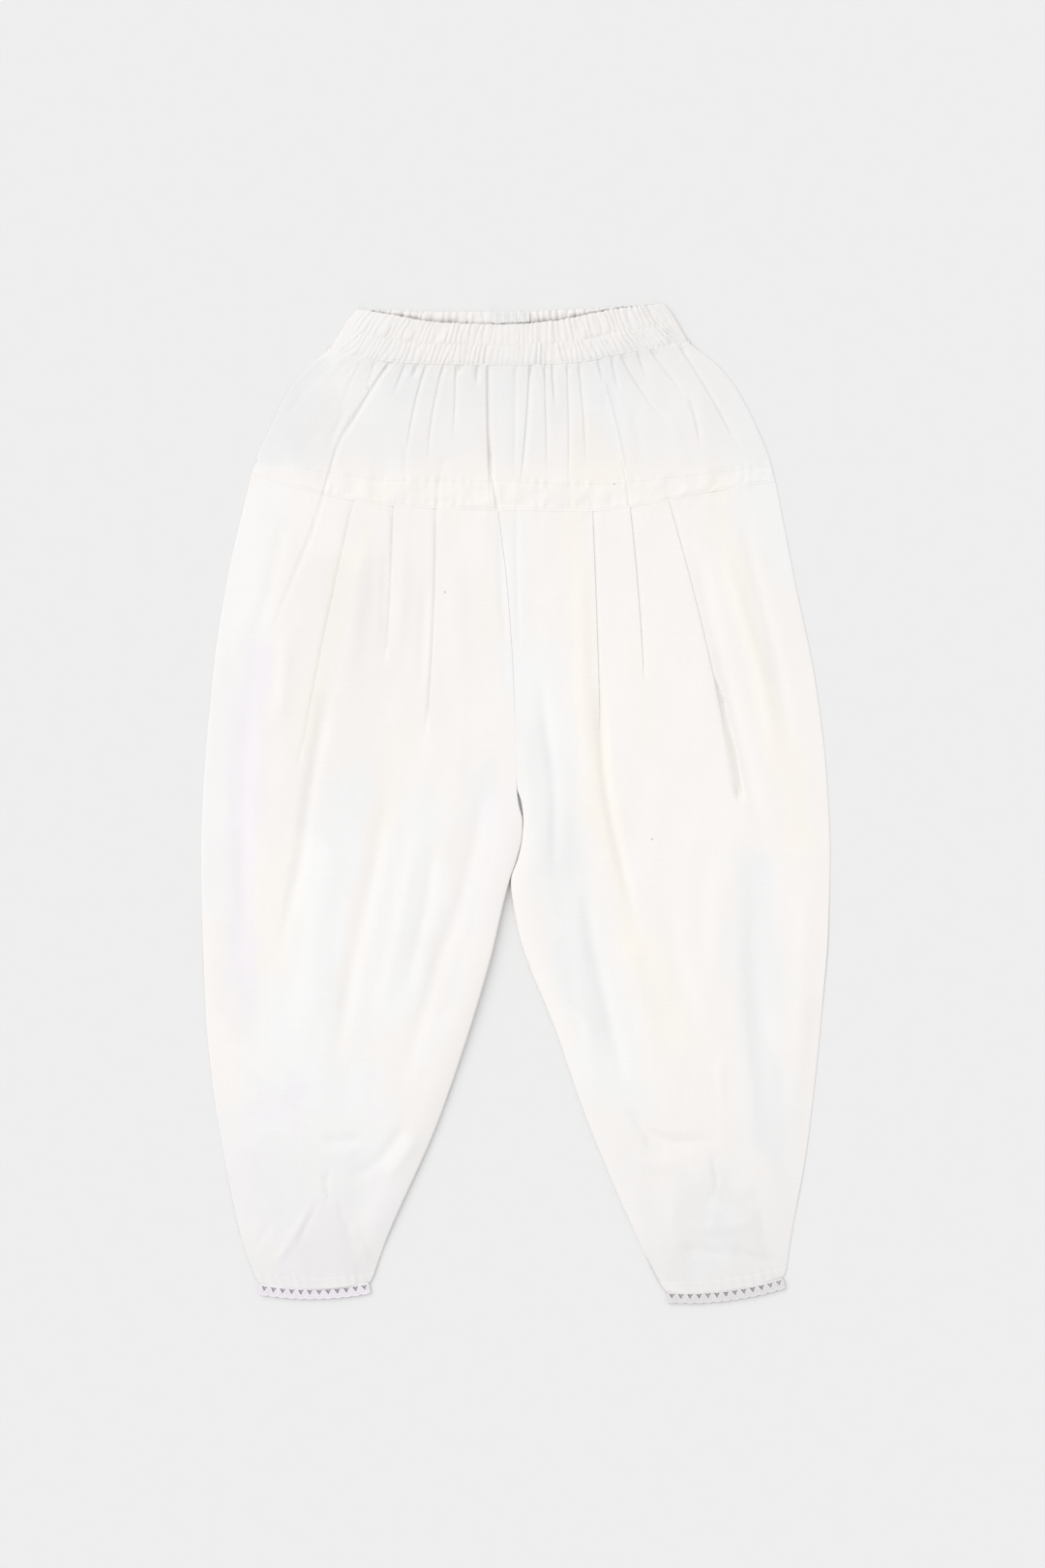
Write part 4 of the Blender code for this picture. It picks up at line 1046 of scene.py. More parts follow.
@dataclass(frozen=True)
class CottonFinish(Finish):
    """Thin white cotton in plain weave, with uneven threads, faint tints and painted shade.

    Attributes:
        wander: how far the threads leave an even spacing, in radians.
        warp: slubs a metre along X, Y and Z of the threads that run down the garment.
        weft: the same of the threads that run across it.
    """

    name: str = "white_cotton"
    white: Triple = (0.874, 0.843, 0.820)
    cream: Triple = (0.886, 0.850, 0.785)
    lilac: Triple = (0.850, 0.816, 0.848)
    cool: Triple = (0.860, 0.859, 0.856)
    # Colour that the painted shade and the thin threads lean to.
    shade: Triple = (0.715, 0.705, 0.705)
    thread: float = 0.00055
    wander: float = 5.0
    warp: Triple = (900.0, 22.0, 60.0)
    weft: Triple = (26.0, 800.0, 60.0)
    patchiness: Triple = (38.0, 24.0, 30.0)
    depth: float = 0.0001
    speck: Triple = (0.42, 0.40, 0.38)
    speck_size: float = 0.0011
    specks: Line = ((-52.6, 157.7), (73.4, 238.3), (101.5, -25.9))

    def make(self) -> Material:
        """Builds the material.

        Returns:
            The material.
        """
        material, tree = self.start()
        vector, x, y, z = tree.places()
        warp, weft = tree.noise(vector, self.warp, 2.0), tree.noise(vector, self.weft, 2.0)
        mottle = tree.noise(vector, self.patchiness, 3.0)
        turns = math.pi / self.thread
        over = tree.math("SINE", x * turns + warp * self.wander)
        over = over * tree.math("SINE", y * turns + weft * self.wander)
        tint_and_shade = tree.node("ShaderNodeAttribute", {"attribute_name": "tint_and_shade"})
        weights = tree.node("ShaderNodeSeparateColor", None, {0: tint_and_shade.outputs["Color"]})
        warm, lilac, cool = (Socket(tree, output) for output in weights.outputs)
        colour = tree.blend(cool, self.white, self.cool)
        colour = tree.blend(lilac, colour, self.lilac)
        colour = tree.blend(warm, colour, self.cream)
        # Painted shade, from the attribute's alpha, leans the colour towards the shade colour.
        painted_shade = Socket(tree, tint_and_shade.outputs["Alpha"])
        thin = (mottle - 0.5) * 0.25 + (warp + weft - 1.0) * 0.12
        colour = tree.blend(painted_shade * 0.65 + thin, colour, self.shade)
        on_front = tree.math("GREATER_THAN", z, FRONT_REST * MM)
        for speck_x, speck_y in self.specks:
            away_x, away_y = x - speck_x * MM, y - speck_y * MM
            share = 1.0 - (away_x * away_x + away_y * away_y) * (1.0 / self.speck_size**2)
            mark = tree.math("MAXIMUM", share, 0.0) * on_front
            colour = tree.blend(mark * 0.7, colour, self.speck)
        self.end(tree, {
            "Base Color": colour,
            "Roughness": 0.88 - (mottle - 0.5) * 0.1,
            "Normal": tree.bump(over * 0.5 + warp * 0.9 + weft * 0.9, 0.6, self.depth),
            "Specular IOR Level": 0.22,
            "Sheen Weight": 0.12,
            "Sheen Roughness": 0.6,
        })
        return material


@dataclass(frozen=True)
class ThreadFinish(Finish):
    """Cotton thread, twisted and slightly shiny: the lace's strands, the stitches and the label's tape.

    Attributes:
        right: its colour on the right half of the garment, where it is darker as painted shade. None where
            it is the same.
    """

    name: str = "white_thread"
    white: Triple = (0.86, 0.855, 0.85)
    right: Triple | None = None
    dim: float = 0.93
    twist: float = 0.0006
    fuzz: float = 1500.0
    depth: float = 0.0001
    roughness: float = 0.7

    def make(self) -> Material:
        """Builds the material.

        Returns:
            The material.
        """
        material, tree = self.start()
        vector, x, y, z = tree.places()
        fluff = tree.noise(vector, (self.fuzz,) * 3, 2.0)
        ply = tree.math("SINE", (x + y + z) * (2 * math.pi / self.twist) + fluff * 4.0)
        on_right = tree.math("GREATER_THAN", x, 0.0)
        tones = (self.white, self.right or self.white)
        light, dark = (
            tree.blend(on_right, *(tuple(part * share for part in tone) for tone in tones))
            for share in (1.0, self.dim)
        )
        self.end(tree, {
            "Base Color": tree.blend(fluff, light, dark),
            "Roughness": self.roughness + (fluff - 0.5) * 0.2,
            "Normal": tree.bump(ply * 0.5 + fluff, 0.5, self.depth),
            "Specular IOR Level": 0.3,
            "Sheen Weight": 0.1,
        })
        return material


@dataclass(frozen=True)
class PaperFinish(Finish):
    """The plain pale floor, with a faint darker grain of so many cells a metre."""

    name: str = "floor_paper"
    grey: Triple = (0.780, 0.780, 0.780)
    dim: float = 0.985
    grain: float = 60.0

    def make(self) -> Material:
        """Builds the material.

        Returns:
            The material.
        """
        material, tree = self.start()
        grain = tree.noise(tree.places()[0], (self.grain,) * 3, 4.0)
        colour = tree.blend(grain, self.grey, tuple(part * self.dim for part in self.grey))
        self.end(tree, {"Base Color": colour, "Roughness": 0.9, "Specular IOR Level": 0.1})
        return material


@dataclass(frozen=True)
class Cut:
    """The plan of a flat tube: a left edge, a right edge, and how its rows bow between them.

    Attributes:
        sag: how far the foot bows down between its corners. None where the foot lies on the yoke's seam.
    """

    left: Profile
    right: Profile
    left_ends: Span
    right_ends: Span
    length: float
    sag: float | None = None
    corner: float = 0.0
    corner_height: float = 10.0

    def edges(self, down: Array) -> tuple[Array, Array, Array, Array]:
        """X and Y of each row's left end, then of its right end, as columns."""
        left_y, right_y = mix(*self.left_ends, down)[:, None], mix(*self.right_ends, down)[:, None]
        return self.left(left_y), left_y, self.right(right_y), right_y

    def sides(self, down: Array) -> Pair:
        """X of each row's left and right end, as columns."""
        return self.edges(down)[0::2]

    def across(self, x: Array, down: Array) -> Array:
        """Share of the width at these X, rows first."""
        left_x, right_x = self.sides(down)
        return (x - left_x) / (right_x - left_x)

    def up(self, down: Array) -> Array:
        """Distance of each row above the foot, as a column."""
        return ((1.0 - down) * self.length)[:, None]

    def y_at(self, x: Array, down: Array) -> Array:
        """Y of the points of these rows.

        Args:
            x: X of the points, rows first.
            down: share down the tube of each row.

        Returns:
            Y of each.
        """
        _, left_y, _, right_y = self.edges(down)
        share = self.across(x, down)
        chord = mix(left_y, right_y, share)
        down = down[:, None]
        top = mix(self.left_ends[0], self.right_ends[0], share)
        if self.sag is None:
            foot = mix(self.left_ends[1], self.right_ends[1], share)
            return chord + (CASING_BOTTOM(x) - top) * (1 - down) + (YOKE_SEAM(x) - foot) * down
        held = np.clip(down, 0.0, 1.0)
        return chord + (YOKE_SEAM(x) - top) * (1 - held) ** 3 - 4 * self.sag * share * (1 - share) * held**4

    def row(self, up: float, inset: float = 4.0, step: float = 1.2) -> Pair:
        """A line across the front.

        Args:
            up: how far it is above the foot.
            inset: how far inside the sides it starts and ends.
            step: distance from one point to the next.

        Returns:
            X and Y of its points.
        """
        down = np.array([1.0 - up / self.length])
        left_x, right_x = (float(side[0, 0]) for side in self.sides(down))
        x = np.arange(left_x + inset, right_x - inset, step)
        return x, self.y_at(x[None, :], down)[0]

    def crossing(self, fold: Fold, down: Array) -> Array:
        """Where each row crosses a fold's line.

        Below the fold's end the line keeps the share of the width that it has there.

        Args:
            fold: the fold.
            down: share down the tube of each row.

        Returns:
            X of the crossings, as a column.
        """
        left_x, right_x = self.sides(down)
        x = (left_x + right_x) / 2
        for _ in range(6):
            y = self.y_at(x, down)
            x = fold.line(np.clip(y, fold.y_end, fold.y_top))
        end_left, end_right = self.left(fold.y_end), self.right(fold.y_end)
        share = (fold.x_end - end_left) / (end_right - end_left)
        return np.where(y <= fold.y_end, left_x + (right_x - left_x) * share, x)

    def round_corners(self, x: Array, down: Array) -> Array:
        """X of the points of these rows, with the lowest corners drawn in."""
        inward = self.corner * (2.0 * self.across(x, down) - 1.0)
        return x - inward * (1.0 - rounded(self.up(down), self.corner_height))


YOKE_CUT = Cut(YOKE_LEFT, YOKE_RIGHT, (337.7, LEFT_SEAM_Y), (342.7, RIGHT_SEAM_Y), 105.0)
LEG_CUTS = {
    Side.LEFT: Cut(OUTER_LEFT, INNER_LEFT, (245.2, -357.4), (218.2, -356.4), 592.0, 4.2, CORNER),
    Side.RIGHT: Cut(INNER_RIGHT, OUTER_RIGHT, (218.2, -363.6), (239.9, -352.6), 590.0, 4.4, CORNER),
}


@dataclass(frozen=True)
class EdgeTurn:
    """How the front layer turns down to the back one at the side of a tube.

    Attributes:
        middle: height of the turn's outermost point.
    """

    middle: float = 0.5
    front_reach: float = 0.8
    back_reach: float = 0.7

    def front(self, height: Array, distance: Array, share: Array | float) -> Array:
        """The front's height with the turn. Share is 0 where the side is a seam and not an edge."""
        turned = self.middle + (height - self.middle) * rounded(distance, self.front_reach)
        return mix(height, turned, share)

    def back(self, height: Array, distance: Array, share: Array | float) -> Array:
        """The back's underside with the turn."""
        return height + self.middle * (1.0 - rounded(distance, self.back_reach)) * share


TURN = EdgeTurn()
ROLLED_TURN = EdgeTurn(middle=1.7, front_reach=0.7, back_reach=1.5)
FLAT_TURN = EdgeTurn(middle=0.2, front_reach=0.9, back_reach=0.4)


@dataclass(frozen=True)
class PleatTurn:
    """The section of a knife pleat at its line, for a pleat whose upper fold lies to the right.

    Attributes:
        across: offsets of its columns across the line where it is folded.
        flat: the same where it has faded out.
        low: height of each column over the lower layer, as a share of the pleat's height.
        lift: share of the pleat's height that each column has.
        soft_over: how far across it rises where it has faded out.
        shadow: how far below the line the lower layer starts to sink.
        shadow_width: half width of that trough.
    """

    across: Row = (-1.6, -0.9, -0.1, 0.7, 0.8, 0.3, 0.0, 0.12, 0.6)
    flat: Row = (-3.2, -2.4, -1.6, -0.8, 0.0, 0.8, 1.6, 2.4, 3.2)
    low: Row = (-0.70, -1.50, -1.60, -1.20, -0.60, -0.10, 0.10, 0.04, 0.0)
    lift: Row = (0.0, 0.0, 0.0, 0.0, 0.0, 0.0, 0.5, 0.9, 1.0)
    soft_over: float = 5.0
    shadow: float = -0.5
    shadow_width: float = 1.2

    def columns(self, folded: Array, height: Array, side: int) -> Pair:
        """Offsets across the line and heights over the lower layer.

        Args:
            folded: 1 where the cloth is folded under, as a column.
            height: the pleat's height, as a column.
            side: the side that the upper fold lies on.

        Returns:
            The offsets and the heights, rows by columns from left to right.
        """
        rows = (self.across, self.flat, self.low, self.lift)
        across, flat, low, lift = (np.array(row)[None, :] for row in rows)
        offset = mix(flat, across, folded)
        soft = ease((flat - self.flat[0]) / self.soft_over)
        rise = mix(soft * height, (low + lift) * height, folded)
        return (-offset[:, ::-1], rise[:, ::-1]) if side < 0 else (offset, rise)

    def trough(self, off: Array, folded: Array) -> Array:
        """What the lower layer sinks beside the line, at distances that are positive on the upper fold."""
        sunk = self.low[0] * folded * bell(off - self.across[0], self.shadow_width)
        return np.where(off < self.shadow, sunk, 0.0)


PLEAT_TURN = PleatTurn()


def folded_under(fade: Array) -> Array:
    """1 where a pleat's cloth is folded under, 0 where it only bends."""
    return ease((fade - 0.30) / 0.4)


@dataclass(kw_only=True)
class Tube:
    """A thin flat tube of cloth: a front layer on a back one, turned at both sides.

    Attributes:
        inset: how far in the rows lie that are under the next piece up.
    """

    name: str
    cut: Cut
    cotton: Material
    turns: tuple[EdgeTurn, EdgeTurn]
    near: Row = (0.0, 0.16, 0.48, 1.1, 2.6)
    inset: float = 0.0
    back_near: Row = (0.25, 0.8, 1.7)
    back_clear: float = 3.0
    back_count: int = 40
    back_crumple: float = 0.35

    def rows(self) -> Array:
        """Shares down the tube. The first rows lie under the next piece up."""
        raise NotImplementedError

    def front(self, down: Array) -> Pair:
        """Points of the front layer's upper face, rows by columns, and the cloth's thickness there."""
        raise NotImplementedError

    def shares(self, layer: Layer, y: Array) -> tuple[Array | float, Array | float]:
        """How far the left and right side are turned at these Y."""
        return 1.0, 1.0

    def tint_and_shade(self, points: Array) -> Array:
        """The weights of the cloth's colours and its painted shade at these points."""
        return tint_and_shade_at(points)

    def inset_sides(self, down: Array) -> Pair:
        """X of the sides as columns, drawn in where they lie under the next piece up."""
        left_x, right_x = self.cut.sides(down)
        inset = np.where(down < 0, self.inset, 0.0)[:, None]
        return left_x + inset, right_x - inset

    def turned(self, layer: Layer, x: Array, y: Array, z: Array, down: Array) -> Array:
        """Turns a layer's outer face at both sides.

        Args:
            layer: which layer.
            x: X of its points, rows by columns.
            y: Y of them.
            z: Z of them without the turns.
            down: share down the tube of each row.

        Returns:
            Z with the turns.
        """
        left_x, right_x = self.cut.sides(down)
        for distance, turn, share in zip((x - left_x, right_x - x), self.turns, self.shares(layer, y)):
            z = (turn.front if layer is Layer.FRONT else turn.back)(z, distance, share)
        return z

    def back(self, down: Array) -> Pair:
        """The back layer, from just inside the right side to just inside the left one.

        Args:
            down: share down the tube of each row.

        Returns:
            Points of its underside, which rests flat, and the cloth's thickness there.
        """
        left_x, right_x = self.inset_sides(down)
        near = np.array(self.back_near)
        middle = between(right_x - self.back_clear, left_x + self.back_clear, self.back_count)
        x = np.concatenate([right_x - near, middle, left_x + near[::-1]], axis=1)
        y = self.cut.y_at(x, down)
        z = self.turned(Layer.BACK, x, y, np.maximum(FORM.crumple(x, y), 0.0) * self.back_crumple, down)
        return np.dstack([x, y, z]), np.full(x.shape, CLOTH_SHELL)

    def build(self) -> Piece:
        """Makes the tube's mesh and dresses it.

        Returns:
            The piece.
        """
        down = self.rows()
        outer, thick = (np.concatenate(parts, axis=1) for parts in zip(self.front(down), self.back(down)))
        outer[:, :, 0] = self.cut.round_corners(outer[:, :, 0], down)
        points, quads = tube_shell(outer, thick)
        return mesh_object(self.name, points, quads, self.cotton, self.tint_and_shade(points))


@dataclass(frozen=True)
class Wedge:
    """The sunk wedge where a pleat opens at its foot: a slope down to the right that ends in a wall."""

    pleat: Fold
    top: float = 96.0
    length: float = 95.0
    depth: float = 2.7
    left: float = 4.0
    right: float = 4.4
    opening: float = 5.0
    hollow: float = 1.2
    wall: float = 1.6
    fades: Span = (0.12, 0.08)
    # Creamy, lilac, cool and painted-shade weights of the pocket: painted shade darkens it, with a creamy
    # cast.
    colour: tuple[float, float, float, float] = (1.0, 0.3, 0.0, 0.45)

    def share(self, x: Array, y: Array) -> Array:
        """How sunk the cloth is.

        Args:
            x: X of the points.
            y: Y of the points.

        Returns:
            0 outside the wedge to 1 where it is deepest.
        """
        share = (self.top - y) / self.length
        deep = np.clip(share, 0.0, 1.0)
        left, right = -self.left * deep, self.right * (1.0 - np.exp(-self.opening * deep))
        off = self.pleat.off(x, y)
        slope = np.clip((off - left) / (right - left + 0.3), 0.0, 1.0) ** self.hollow
        wall = 1.0 - ease((off - right) / self.wall)
        return slope * wall * ease(share / self.fades[0]) * ease((1.0 - share) / self.fades[1])


@dataclass(kw_only=True)
class Leg(Tube):
    """One leg: a thin tube with its pleats, folds and turned hem.

    Attributes:
        groove: depth and half width of the centre seam.
        touch: Y where the legs touch, half width of that, and how flat it leaves their edges' turn.
    """

    side: Side
    pleats: tuple[Fold, ...]
    columns: tuple[int, ...]
    wedge: Wedge | None = None
    inset: float = 1.5
    back_count: int = 34
    head_rows: Row = (-3.0, -1.2, 0.0, 0.6, 1.2, 2.0, 3.2, 5.0, 7.5, 10.5)
    hem_rows: Row = (
        10.6, 9.7, 9.1, 8.7, 8.3, 7.8, 7.0, 5.8, 4.6, 3.4, 2.4, 1.6, 0.9, 0.4, 0.1, 0.0,
    )
    held: float = 0.45
    free_from: float = 14.0
    hem_turn: float = 8.5
    hem_raise: float = 0.3
    hem_pucker: float = 7.0
    hem_shift: Uneven = Uneven(0.35, 16.0, 21)
    hem_full: Uneven = Uneven(0.5, 9.0, 23)
    seam_drop: float = 0.7
    seam_pucker: Uneven = Uneven(0.16, 3.2, 31)
    seam_swell: Uneven = Uneven(0.22, 9.0, 33, 30.0)
    groove: Span = (0.06, 1.1)
    touch: Triple = (-22.0, 15.0, 0.75)
    lowest: float = 0.2

    def rows(self) -> Array:
        """Shares down the leg. The first rows lie under the yoke.

        Returns:
            The shares, from the top down.
        """
        length = self.cut.length
        body = np.arange(13.7, length - 32.0, 3.25)
        low = np.arange(length - 30.0, length - 11.5, 1.9)
        return np.concatenate([self.head_rows, body, low, length - np.array(self.hem_rows)]) / length

    def shares(self, layer: Layer, y: Array) -> tuple[Array | float, Array | float]:
        """How far each side is turned: the inner one only below the crotch.

        Args:
            layer: which layer.
            y: Y of the points.

        Returns:
            The left side's shares, then the right side's.
        """
        inner = FORM.parted(y)
        if layer is Layer.FRONT:
            touch_y, width, flattened = self.touch
            inner = inner * (1.0 - flattened * bell(y - touch_y, width))
        return (1.0, inner) if self.side is Side.LEFT else (inner, 1.0)

    def tint_and_shade(self, points: Array) -> Array:
        """The weights of the cloth's colours and its painted shade at these points, with the painted shade
        of the wedge's pocket.
        """
        own = self.wedge.share(*points.T[:2])[:, None] * np.array(self.wedge.colour) if self.wedge else 0.0
        return tint_and_shade_at(points) + own

    def front_columns(self, down: Array) -> tuple[Array, Array, Array]:
        """The front's columns, with the folded ones of each pleat.

        Args:
            down: share down the leg of each row.

        Returns:
            X of the columns, the height of their own pleat, and which pleat that is, -1 for none.
        """
        left_x, right_x = self.inset_sides(down)
        near = np.array(self.near)
        blocks: list[tuple[Array, Array, Array]] = []

        def add(x: Array, rise: Array | float = 0.0, owner: int = -1) -> Array:
            """Adds columns from left to right, and gives the last of them."""
            blocks.append((x, np.zeros(x.shape) + rise, np.full(x.shape[1], owner)))
            return x.max(axis=1, keepdims=True)

        last = add(left_x + near)
        for index, pleat in enumerate(self.pleats):
            at = self.cut.crossing(pleat, down)
            y = self.cut.y_at(at, down)
            height = pleat.height * (pleat.fade(y) * self.sewn(y, at))
            offset, rise = PLEAT_TURN.columns(folded_under(pleat.fade(y)), height, pleat.side)
            own = at + offset
            add(between(last, own.min(axis=1, keepdims=True), self.columns[index]))
            last = add(own, rise, index)
        add(between(last, right_x - near[-1], self.columns[-1]))
        add(right_x - near[::-1])
        x, rises, owners = zip(*blocks)
        return np.concatenate(x, axis=1), np.concatenate(rises, axis=1), np.concatenate(owners)

    def sewn(self, y: Array, x: Array) -> Array:
        """How free a pleat is of the seam that holds it flat at its top."""
        return self.held + (1.0 - self.held) * ease((YOKE_SEAM(x) - y) / self.free_from)

    def pleat_lift(self, x: Array, y: Array, owners: Array, rises: Array) -> Array:
        """What the pleats add to the front's height.

        Args:
            x: X of the points, rows by columns.
            y: Y of them.
            owners: which pleat each column belongs to.
            rises: what its own pleat adds there.

        Returns:
            What all the pleats add.
        """
        lift = rises.copy()
        for index, pleat in enumerate(self.pleats):
            off = pleat.off(x, y) * pleat.side
            fade = pleat.fade(y)
            upper = np.where(off > 0, bell(off, pleat.width), 0.0)
            added = pleat.height * fade * self.sewn(y, x) * upper
            added = added + pleat.height * fade * PLEAT_TURN.trough(off, folded_under(fade))
            lift += np.where(owners[None, :] == index, 0.0, added)
        return lift

    def hem_relief(self, x: Array, up: Array) -> Array:
        """The turned hem: a raised band with a stitched groove, slanted puckers and a round foot.

        Args:
            x: X of the points, rows by columns.
            up: their distance above the foot, as a column.

        Returns:
            What it adds to their height.
        """
        band = self.hem_raise * ease((self.hem_turn + 0.3 - up) / 0.9)
        groove = -0.15 * bell(up - self.hem_turn, 0.7)
        phase = (x + 0.4 * up) / self.hem_pucker + self.hem_shift(x)
        full = 0.5 + self.hem_full(x)
        pucker = 0.28 * full * np.sin(2 * math.pi * phase) * bell(up - 6.0, 5.0)
        foot = -0.6 * (1.0 - rounded(up, 1.0))
        return band + groove + pucker + foot

    def seam_relief(self, x: Array, y: Array) -> Array:
        """How the cloth dips under the yoke's edge, with the small puckers of its stitching.

        Args:
            x: X of the points.
            y: Y of the points.

        Returns:
            What that adds to the height of each.
        """
        below = YOKE_SEAM(x) - y
        pucker = self.seam_pucker(x) * bell(below - 5.0, 4.0)
        pucker = pucker + self.seam_swell(x, below) * bell(below, 16.0) * ease(below / 6.0)
        return pucker - self.seam_drop * (1.0 - ease((below + 1.2) / 1.3))

    def front(self, down: Array) -> Pair:
        """The front layer.

        Args:
            down: share down the leg of each row.

        Returns:
            Points of its upper face, rows by columns, and the cloth's thickness there.
        """
        x, rises, owners = self.front_columns(down)
        y = self.cut.y_at(x, down)
        z = FORM.height(x, y) + self.pleat_lift(x, y, owners, rises)
        z = z + self.hem_relief(x, self.cut.up(down)) + self.seam_relief(x, y)
        if self.wedge:
            z = z - self.wedge.depth * self.wedge.share(x, y)
        left_x, right_x = self.cut.sides(down)
        from_seam = right_x - x if self.side is Side.LEFT else x - left_x
        depth, width = self.groove
        z = z - depth * (1 - FORM.parted(y)) * bell(from_seam, width)
        z = self.turned(Layer.FRONT, x, y, z, down)
        thick = np.where(owners[None, :] >= 0, FOLDED_SHELL, CLOTH_SHELL) + np.zeros(x.shape)
        return np.dstack([x, y, np.maximum(z, self.lowest)]), thick


@dataclass
class Waistband:
    """The elastic casing: a flattened ring, gathered all round, with a stitched line along its middle.

    Attributes:
        join: X of the strip's join at the foot, and its depth.
        dark_gap: width of the dark gap behind the front's top edge, and its unevenness.
        end_inset: how far the two ends are drawn in, and how much more at the top.
    """

    cotton: Material
    height: float = 31.0
    wall: float = 2.6
    wall_side: float = 1.2
    gap_side: float = 0.3
    gap_middle: float = 3.0
    side_reach: float = 34.0
    gather: float = 1.15
    right_gather: float = 0.55
    ripples: tuple[Uneven, Uneven] = (Uneven(0.16, 1.5, 51, 5.0), Uneven(0.10, 3.0, 53, 2.6))
    stitch_line: float = 0.5
    foot_line: float = 0.07
    lower_row: Ruching = Ruching(62.0, 2.6, 101)
    upper_row: Ruching = Ruching(50.0, 0.8, 131)
    back_row: Ruching = Ruching(38.0, 0.0, 161)
    strip: Span = (0.445, 0.532)
    strip_flat: float = 0.62
    end_flat: float = 0.045
    join: Span = (-23.2, 1.1)
    inside_raise: float = 3.0
    inside_gather: float = 2.4
    dark_gap: tuple[float, Uneven] = (0.25, Uneven(0.55, 3.0, 57))
    end_inset: Span = (1.6, 1.6)
    tooth: float = 1.1
    lifts: Row = (
        0.0, 0.012, 0.03, 0.055, 0.08, 0.11, 0.15, 0.20, 0.26, 0.32, 0.37, 0.41, 0.445, 0.47, 0.49,
        0.51, 0.53, 0.56, 0.60, 0.66, 0.72, 0.78, 0.84, 0.89, 0.93, 0.96, 0.98, 0.993, 1.0,
    )
    front_count: int = 720
    back_count: int = 360
    end_count: int = 7
    warmth: float = 0.06

    def calm(self, along: Array) -> Array:
        """How far the gathers rise: 0 at the two ends, less on the plain strip."""
        start, end = self.strip
        strip = ease((along - start) / 0.012) * ease((end - along) / 0.012)
        return swell(np.minimum(along, 1.0 - along), self.end_flat) * (1.0 - self.strip_flat * strip)

    def puff(self, lift: Array) -> Array:
        """How free the cloth is at this height: little at the stitched lines, most between them."""
        low = 0.4 + 0.6 * rounded(lift, 0.12)
        return low * (0.45 + 0.55 * rounded(np.abs(self.stitch_line - lift), 0.10))

    @staticmethod
    def ends(lift: Array) -> Pair:
        """X of the casing's left and right end at this share of its height."""
        low, top = CASING_BOTTOM.points, CASING_TOP[Layer.FRONT].points
        return mix(low[0][0], top[0][0], lift), mix(low[-1][0], top[-1][0], lift)

    def place(self, along: Array, lift: Array, layer: Layer) -> Pair:
        """X and Y of the casing.

        Args:
            along: shares of its width.
            lift: shares of its height.
            layer: which layer.

        Returns:
            X and Y, in the shares' shape.
        """
        low_x, top_x = mix(*self.ends(0.0), along), mix(*self.ends(1.0), along)
        inset, more = self.end_inset
        inward = (inset + more * ease((lift - 0.72) / 0.28)) * (1.0 - 2.0 * along)
        inward = inward * bell(self.from_end(along), 26.0)
        return mix(low_x, top_x, lift) + inward, mix(CASING_BOTTOM(low_x), CASING_TOP[layer](top_x), lift)

    def from_end(self, along: Array) -> Array:
        """Distance from the nearer end of the casing."""
        left, right = self.ends(0.0)
        return np.minimum(along, 1.0 - along) * (right - left)

    def half(self, along: Array) -> Array:
        """Half the thickness of the wall."""
        return mix(self.wall_side, self.wall, swell(self.from_end(along), self.side_reach)) / 2

    def radius(self, along: Array) -> Array:
        """Half the height of the ring's middle line."""
        gap = mix(self.gap_side, self.gap_middle, swell(self.from_end(along), self.side_reach))
        return gap / 2 + self.half(along)

    def edge_round(self, lift: Array) -> Array:
        """How thick the wall is at this height, as a share: round at its top, thin at its foot."""
        top = rounded((1.0 - lift) * self.height, 1.3)
        foot = 0.50 + 0.50 * swell(lift * self.height, 6.0)
        return np.maximum(np.minimum(top, foot), 0.12)

    def crest(self, along: Array, lift: Array, layer: Layer) -> Array:
        """The gathers' height as a share, in the row that this height lies in.

        Args:
            along: shares of the casing's width.
            lift: shares of its height.
            layer: which layer.

        Returns:
            The share at each.
        """
        if layer is Layer.BACK:
            return self.back_row.crest(along, lift)
        share = ease((lift - self.stitch_line + 0.035) / 0.07)
        return mix(self.lower_row.crest(along, lift), self.upper_row.crest(along, lift), share)

    def wave(self, along: Array, lift: Array, layer: Layer) -> Array:
        """The gathers, the stitched line and the small ripples.

        Args:
            along: shares of the casing's width.
            lift: shares of its height.
            layer: which layer.

        Returns:
            What they add to the height of the outer face.
        """
        x, y = self.place(along, lift, layer)
        full = self.gather * (1.0 + self.right_gather * ease((along - 0.4) / 0.4))
        wave = full * self.puff(lift) * (self.crest(along, lift, layer) - 0.45)
        ripple = sum(ripple(x, y) for ripple in self.ripples)
        dip = -0.22 * bell(lift - self.stitch_line, 0.03)
        wave = (wave + ripple + dip) * self.calm(along)
        if layer is Layer.BACK:
            return wave
        join_x, depth = self.join
        return wave - depth * bell(x - join_x - 3.0 * lift, 1.1) * (1.0 - ease((lift - 0.34) / 0.2))

    def foot_height(self, along: Array) -> Array:
        """Height of the front's outer face at the casing's foot, without its gathers."""
        return self.half(along) * 1.50 + 2.0 * self.radius(along)

    def inner_back(self, along: Array, lift: Array) -> Array:
        """The back's inner face, which stands up where the front leaves it bare.

        Args:
            along: shares of the casing's width.
            lift: shares of its height.

        Returns:
            Z of the face, without its gathers.
        """
        x, y = self.place(along, lift, Layer.BACK)
        width, uneven = self.dark_gap
        bare = ease((y - CASING_TOP[Layer.FRONT](x) - (width + uneven(x))) / 0.5)
        bare = bare * rounded((1.0 - lift) * self.height, 2.2)
        raised = self.inside_raise * bare * swell(self.from_end(along), 26.0)
        return self.half(along) * (1.0 + self.edge_round(lift)) + raised

